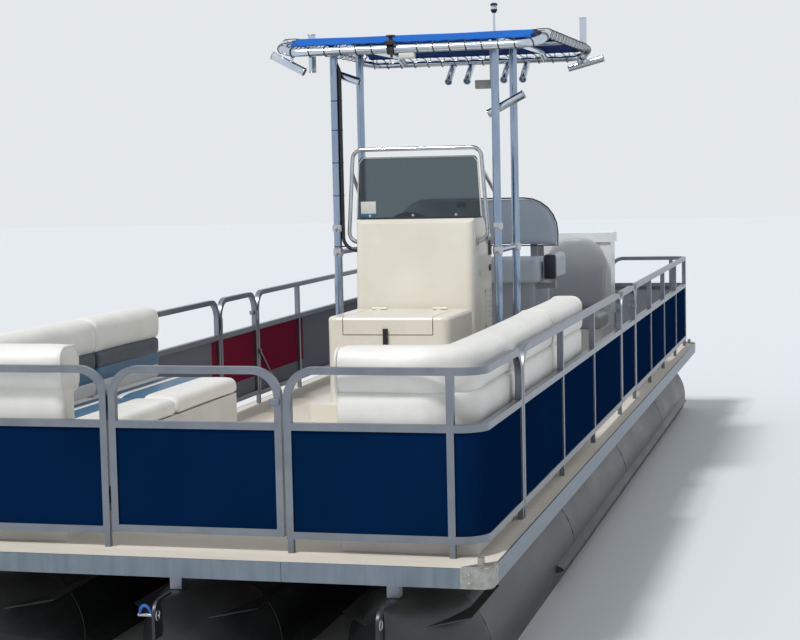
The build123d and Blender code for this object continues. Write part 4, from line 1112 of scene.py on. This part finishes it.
def turned(name, foot, outline, material, stands_for=()):
    """A turned piece: an outline of radius and height, spun round an upright axis at a foot."""
    bpy.ops.mesh.primitive_plane_add(size=0.001, location=foot)
    piece = bpy.context.object
    only(piece)
    bpy.ops.object.mode_set(mode="EDIT")
    bpy.ops.mesh.select_all(action="SELECT")
    bpy.ops.mesh.delete(type="VERT")
    mesh = bmesh.from_edit_mesh(piece.data)
    made = [mesh.verts.new((radius, 0, height)) for radius, height in outline]
    for first, second in zip(made, made[1:]):
        mesh.edges.new((first, second))
    for item in (*mesh.verts, *mesh.edges):
        item.select_set(True)
    bmesh.update_edit_mesh(piece.data)
    bpy.ops.mesh.spin(steps=turned_steps, angle=2 * math.pi, center=foot, axis=(0, 0, 1), dupli=False)
    bpy.ops.mesh.select_all(action="SELECT")
    bpy.ops.mesh.remove_doubles(threshold=0.00002)
    bpy.ops.mesh.normals_make_consistent(inside=False)
    bpy.ops.object.mode_set(mode="OBJECT")
    return finish_piece(piece, name, material, stands_for=stands_for)


mast = [(0, 0), (0.020, 0), (0.020, 0.006), (0.009, 0.012), (0.0075, tall - 0.065), (0, tall - 0.065)]
turned("anchor_light_mast", light_foot, mast, roof_pipe, stands_for=("anchor_light",))
for name, material, outline in (
        ("base", black_plastic, [(0, 0.066), (0.012, 0.066), (0.022, 0.050), (0.022, 0.042), (0, 0.042)]),
        ("lens", base_plastic, [(0, 0.0421), (0.019, 0.0421), (0.019, 0.018), (0, 0.018)]),
        ("cap", black_plastic, [(0, 0.0181), (0.024, 0.0181), (0.024, 0.008), (0.014, 0.001), (0, 0)])):
    # These heights run down from the top of the mast.
    turned(f"anchor_light_{name}", light_foot, [(radius, tall - drop) for radius, drop in outline], material)
print("roof fittings are on")

# %% [markdown]
# ## Small fittings
# Most small parts are rounded blocks or short round bars. Two helpers make several at once and join them,
# so that each group below is one table of places.

# %% Tables of small parts


def fitting(name, material, boxes, radius=0.002, body="hull", stands_for=()):
    """Rounded blocks joined into one piece. Each is two corners, given as places on the boat."""
    parts = [add_block(at(*low), at(*high)) for low, high in boxes]
    for part in parts:
        round_edges(part, radius, 2)
    return finish_piece(join(name, parts), name, material, body=body, stands_for=stands_for)


def buttons(name, material, places, axis, radius, depth, body="hull"):
    """Short round bars with rounded rims, all along one axis: screws, bolts and buttons."""
    parts = [disc(place, axis, radius, depth, sides=16) for place in places]
    for part in parts:
        round_edges(part, min(radius, depth) * 0.3, 2)
    return finish_piece(join(name, parts), name, material, body=body)


# %% [markdown]
# ### Windshield and console
# The smoked screen stands in a dark gasket, with a pale trim round its top and three screws through its
# foot. A blank white and blue label sticks to its lower corner. The console carries switches and a louvred
# hatch on its port side, and gauges, a wheel and a throttle on its sloping dash.

# %% Windshield trim, screws and label
screen = 4.171
trim_half = [(0.3985, 1.235), (0.3795, 1.575), (0.352, 1.608)]
trim = [at(-x, screen, level) for x, level in trim_half]
trim += [at(x, screen, level) for x, level in reversed(trim_half)]
finish_piece(rod(trim, 0.005, smooth=False), "windshield_trim", base_plastic)
fitting("windshield_gasket", black_plastic,
        [((-0.371, screen - 0.012, 1.2262), (0.371, screen + 0.012, 1.236))])
buttons("windshield_screws", stainless, [at(x, screen - 0.005, 1.248) for x in (-0.313, -0.036, 0.239)],
        (0, -1, 0), 0.009, 0.006)
for name, material, low, high in (("blank_label", base_plastic, 1.262, 1.337),
                                  ("blank_label_band", blue_vinyl, 1.240, 1.261)):
    fitting(name, material, [((-0.372, screen - 0.0042, low), (-0.275, screen - 0.0031, high))], 0.0002)

# %% Grab rail feet
console_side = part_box("windshield_rail")[1].x - 0.0845
for side, name in sides:
    feet = [at(side * (console_side + 0.003), station, 1.085) for station in (4.14, 4.44)]
    buttons(f"grab_rail_feet_{name}", stainless, feet, (side, 0, 0), 0.030, 0.006)

# %% Switches and the louvred hatch
fitting("console_switches", black_plastic, [((0.374, 4.470, 0.980), (0.384, 4.540, 1.080)),
                                            ((0.374, 4.480, 0.880), (0.382, 4.530, 0.920))], 0.003)
buttons("console_switch_knobs", stainless, [at(0.386, 4.505, level) for level in (1.005, 1.030, 1.055)],
        (1, 0, 0), 0.007, 0.008)
hatch_edge, louvre_pitch = 0.016, 0.032
hatch = [((0.374, 4.340, level), (0.381, 4.530, level + hatch_edge)) for level in (0.530, 0.754)]
hatch += [((0.374, station, 0.530), (0.381, station + hatch_edge, 0.770)) for station in (4.340, 4.514)]
hatch += [((0.374, 4.350, 0.560 + louvre_pitch * n), (0.3785, 4.520, 0.580 + louvre_pitch * n))
          for n in range(6)]
fitting("console_hatch", base_plastic, hatch)

# %% Gauges and throttle on the dash
dash_top = at(0, 4.310, 1.226)
dash_rise = math.atan2(1.226 - 1.105, 4.560 - 4.310)
dash_out = Vector((0, math.sin(dash_rise), math.cos(dash_rise)))
throttle_x = 0.200


def on_dash(x, station, off=0.0):
    """A point over the console's sloping dash."""
    place = at(x, station, 0)
    place.z = dash_top.z - (place.y - dash_top.y) * math.tan(dash_rise)
    return place + dash_out * off


for count, x in enumerate((-0.285, -0.170, -0.055), 1):
    buttons(f"gauge_{count}", black_plastic, [on_dash(x, 4.38, 0.004)], dash_out, 0.040, 0.008)
    collar(f"gauge_ring_{count}", on_dash(x, 4.38, 0.006), dash_out, 0.037, 0.045, 0.008, stainless)
buttons("throttle_base", black_plastic, [on_dash(throttle_x, 4.44, 0.010)], dash_out, 0.045, 0.020)
lever = [on_dash(throttle_x, station, off) for station, off in ((4.44, 0.01), (4.46, 0.09), (4.44, 0.15))]
finish_piece(rod(lever, 0.008), "throttle_lever", stainless)
buttons("throttle_knob", black_plastic, [on_dash(throttle_x, 4.44, 0.155)], (1, 0, 0), 0.018, 0.060)

# %% Grip and cap of the steering wheel
column_rise = math.radians(30)
wheel_axis = Vector((0, math.cos(column_rise), math.sin(column_rise)))
wheel_middle = at(-0.170, 4.620, 1.020 + 0.080 * math.tan(column_rise)) + wheel_axis * 0.0603
finish_piece(ring(wheel_middle, wheel_axis, 0.170, 0.0153, 64, 16), "steering_wheel_grip", black_plastic,
             body="helm_wheel", angle=60)
buttons("steering_wheel_cap", black_plastic, [wheel_middle + wheel_axis * 0.003], wheel_axis, 0.036, 0.014,
        body="helm_wheel")

# %% Seat box fittings
# Each cap is a disc drawn out across the boat to an oval.
oval = 1.9
hinge_caps = []
for x in (-0.210, 0.170):
    cap = disc((0, 0, 0), (0, 0, 1), 0.012, 0.006)
    for vertex in cap.data.vertices:
        vertex.co = at(x, 3.930, 0.682) + Vector((vertex.co.x * oval, vertex.co.y, vertex.co.z))
    round_edges(cap, 0.002, 2)
    hinge_caps.append(cap)
finish_piece(join("seat_box_fittings", hinge_caps), "seat_box_fittings", stainless)
print("the console is fitted out")

# %% [markdown]
# ### Piping on the couches
# Where a bolster ends, its boxed end is sewn on with piping. A loop of thin cord in vinyl stands for it.

# %% Piping round the bolsters' ends
end_corner = 0.050
end_half = bolster_wide / 2 - 0.004
end_tall = (bolster_high - bolster_low) / 2 - 0.004


def piping(name, centre, across):
    """A rounded loop of piping, square to the bolster, round a centre."""
    points = []
    for quarter in range(4):
        angle = math.pi / 2 * quarter
        side, rise = math.cos(angle + math.pi / 4), math.sin(angle + math.pi / 4)
        middle_x = math.copysign(end_half - end_corner, side)
        middle_z = math.copysign(end_tall - end_corner, rise)
        for n in range(5):
            turn = angle + math.pi / 8 * n
            points.append(centre + across * (middle_x + end_corner * math.cos(turn))
                          + Vector((0, 0, middle_z + end_corner * math.sin(turn))))
    finish_piece(rod(points + points[:1], 0.0055, smooth=False), name, cream_vinyl)


end_level = (bolster_low + bolster_high) / 2
bow_row = back_edge + bolster_wide / 2
port_row = outer_side - bolster_wide / 2
piping_in = 0.007
for name, x, station, across in (
        ("chaise_piping", chaise_inner - piping_in, bow_row, Vector((0, 1, 0))),
        ("port_bow_piping", port_inner + piping_in, bow_row, Vector((0, 1, 0))),
        ("port_aft_piping", port_row, port_end - piping_in, Vector((1, 0, 0))),
        ("port_seam_piping", port_row, port_seam, Vector((1, 0, 0)))):
    piping(name, at(x, station, end_level), across)
print("bolster ends are piped")

# %% [markdown]
# ### Bow, hull and fence
# Cast caps are screwed to the deck's corners and a seam shows in the fascia. Each tube has weld beads
# where its sheets meet and a bright ring in its tow eye. A blue shackle hangs in the middle one.

# %% Screws and seam
screw_levels = (-0.022, -0.055)
end_screws = [at(side * 1.205, station, level) for side, name in sides for level in screw_levels
              for station in (-0.001, 8.751)]
side_screws = [at(side * 1.296, station, level) for side, name in sides for station in (0.090, 8.660)
               for level in screw_levels]
buttons("corner_cap_screws", stainless, end_screws, (0, 1, 0), 0.006, 0.004)
buttons("corner_cap_side_screws", stainless, side_screws, (1, 0, 0), 0.006, 0.004)
fitting("fascia_seam", black_plastic, [((0.4478, -0.0008, -0.0785), (0.4496, 0.003, -0.001))], 0.0002)

# %% Weld beads and tow rings
tube_level = -0.45
eye_station, eye_level = -0.197, -0.182
for x, name in ((0.9, "port"), (0, "centre"), (-0.9, "starboard")):
    beads = [collar("bead", at(x, station, tube_level), (0, 1, 0), 0.3025, 0.3085, 0.008, pontoon_sheet)
             for station in (0.42, 2.55, 4.70, 6.85)]
    finish_piece(join(f"weld_beads_{name}", beads), f"weld_beads_{name}", pontoon_sheet, angle=60)
    collar(f"tow_ring_{name}", at(x, eye_station, eye_level), (1, 0, 0), 0.0145, 0.0235, 0.018, stainless)

# %% Blue shackle and its pin
# The shackle is forged steel in blue enamel, which shines evenly and is dulled in spots by use.
blue_enamel = patchy_finish("blue_enamelled_steel", "#1D5FB4", "#174F9A", "#2A6CC2", 0.02, 0.30)
slot_of[blue_enamel] = "navy_panel"
shackle_bow = [at(x, eye_station - ahead_of_eye, eye_level + rise) for x, ahead_of_eye, rise in (
    (-0.018, 0, 0), (-0.022, 0.009, 0.027), (-0.043, 0.015, 0.045), (-0.064, 0.009, 0.027), (-0.068, 0, 0))]
finish_piece(rod(shackle_bow, 0.006), "tow_shackle", blue_enamel)
buttons("tow_shackle_pin", stainless, [at(-0.030, eye_station, eye_level)], (1, 0, 0), 0.0065, 0.092)

# %% Latches on the gates' outer sides
latch_low, latch_high = deck_top + 0.600, deck_top + 0.625
for body, lengthwise in (("bow_gate", 0), ("stern_gate", 0), ("port_gate", 1), ("starboard_gate", 1)):
    low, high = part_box(body + "_frame")
    outer = 1 - lengthwise
    pivot = next(joint for joint in frame["joints"] if joint["name"] == body + "_swing")["pos_m"][lengthwise]
    free = max(low[lengthwise], high[lengthwise], key=lambda end: abs(pivot - end))
    face = max(low[outer], high[outer], key=abs)
    inward, out = math.copysign(1, pivot - free), math.copysign(1, face)
    first, second = Vector((0, 0, latch_low)), Vector((0, 0, latch_high))
    first[lengthwise], second[lengthwise] = free + inward * 0.004, free + inward * 0.050
    first[outer], second[outer] = face - out * 0.020, face + out * 0.008
    latch = add_block(first, second)
    round_edges(latch, 0.003, 2)
    finish_piece(latch, body + "_latch", fence_tube, body=body)

# %% Bolts in the legs' flanges
bolt_circle = 0.040
bolts = [at(side * (leg_x + bolt_circle * math.cos(turn)), station + bolt_circle * math.sin(turn), 0.011)
         for side, name in sides for station in (front_leg, rear_leg) for turn in (-0.7, 0.7)]
buttons("leg_flange_bolts", stainless, bolts, (0, 0, 1), 0.008, 0.008)

# %% Pads on the fronts of the bench's arms
arm_pads = [((side * 0.566, 5.392, 0.764), (side * 0.652, 5.430, 0.934)) for side, name in sides]
fitting("bench_arm_pads", navy_vinyl, arm_pads, 0.015)
print("bow, hull and fence fittings are on")

# %% [markdown]
# ### Outboard
# The outboard is stored tilted up. Its hood has a bright seam band where it lifts off and a blank badge on
# each side. A function turns places on the engine, as it runs, to where the tilt has brought them.

# %% Hood band and badges
stored_tilt = math.radians(42)
tilt_axis = 9.4


def on_engine(x, back, height):
    """A point on the engine, from its place aft of the tilt axis and above it as the engine runs."""
    return at(x, tilt_axis + back * math.cos(stored_tilt) - height * math.sin(stored_tilt),
              back * math.sin(stored_tilt) + height * math.cos(stored_tilt))


hood_front, hood_back, hood_half, hood_bend = -0.0955, 0.5725, 0.1955, 0.055
band = []
for x, back, start in ((1, 1, 0), (-1, 1, 90), (-1, -1, 180), (1, -1, 270)):
    centre_x = x * (hood_half - hood_bend)
    centre_back = (hood_back - hood_bend) if back > 0 else (hood_front + hood_bend)
    for n in range(5):
        turn = math.radians(start + 22.5 * n)
        band.append(on_engine(centre_x + hood_bend * math.cos(turn),
                              centre_back + hood_bend * math.sin(turn), 0.25))
finish_piece(rod(band + band[:1], 0.005, smooth=False), "hood_band", cast_metal, body="outboard_drive")
badges = []
for side, name in sides:
    badge = add_block((-0.003, -0.11, -0.03), (0.003, 0.11, 0.03))
    round_edges(badge, 0.029, 4, lambda e: abs(direction_of(e).x) > 0.9)
    badge.rotation_euler = (stored_tilt, 0, 0)
    badge.location = on_engine(side * hood_half, 0.24, 0.50)
    only(badge)
    bpy.ops.object.transform_apply(location=True, rotation=True, scale=True)
    badges.append(badge)
finish_piece(join("hood_badges", badges), "hood_badges", cast_metal, body="outboard_drive")
print("the outboard has its band and blank badges")
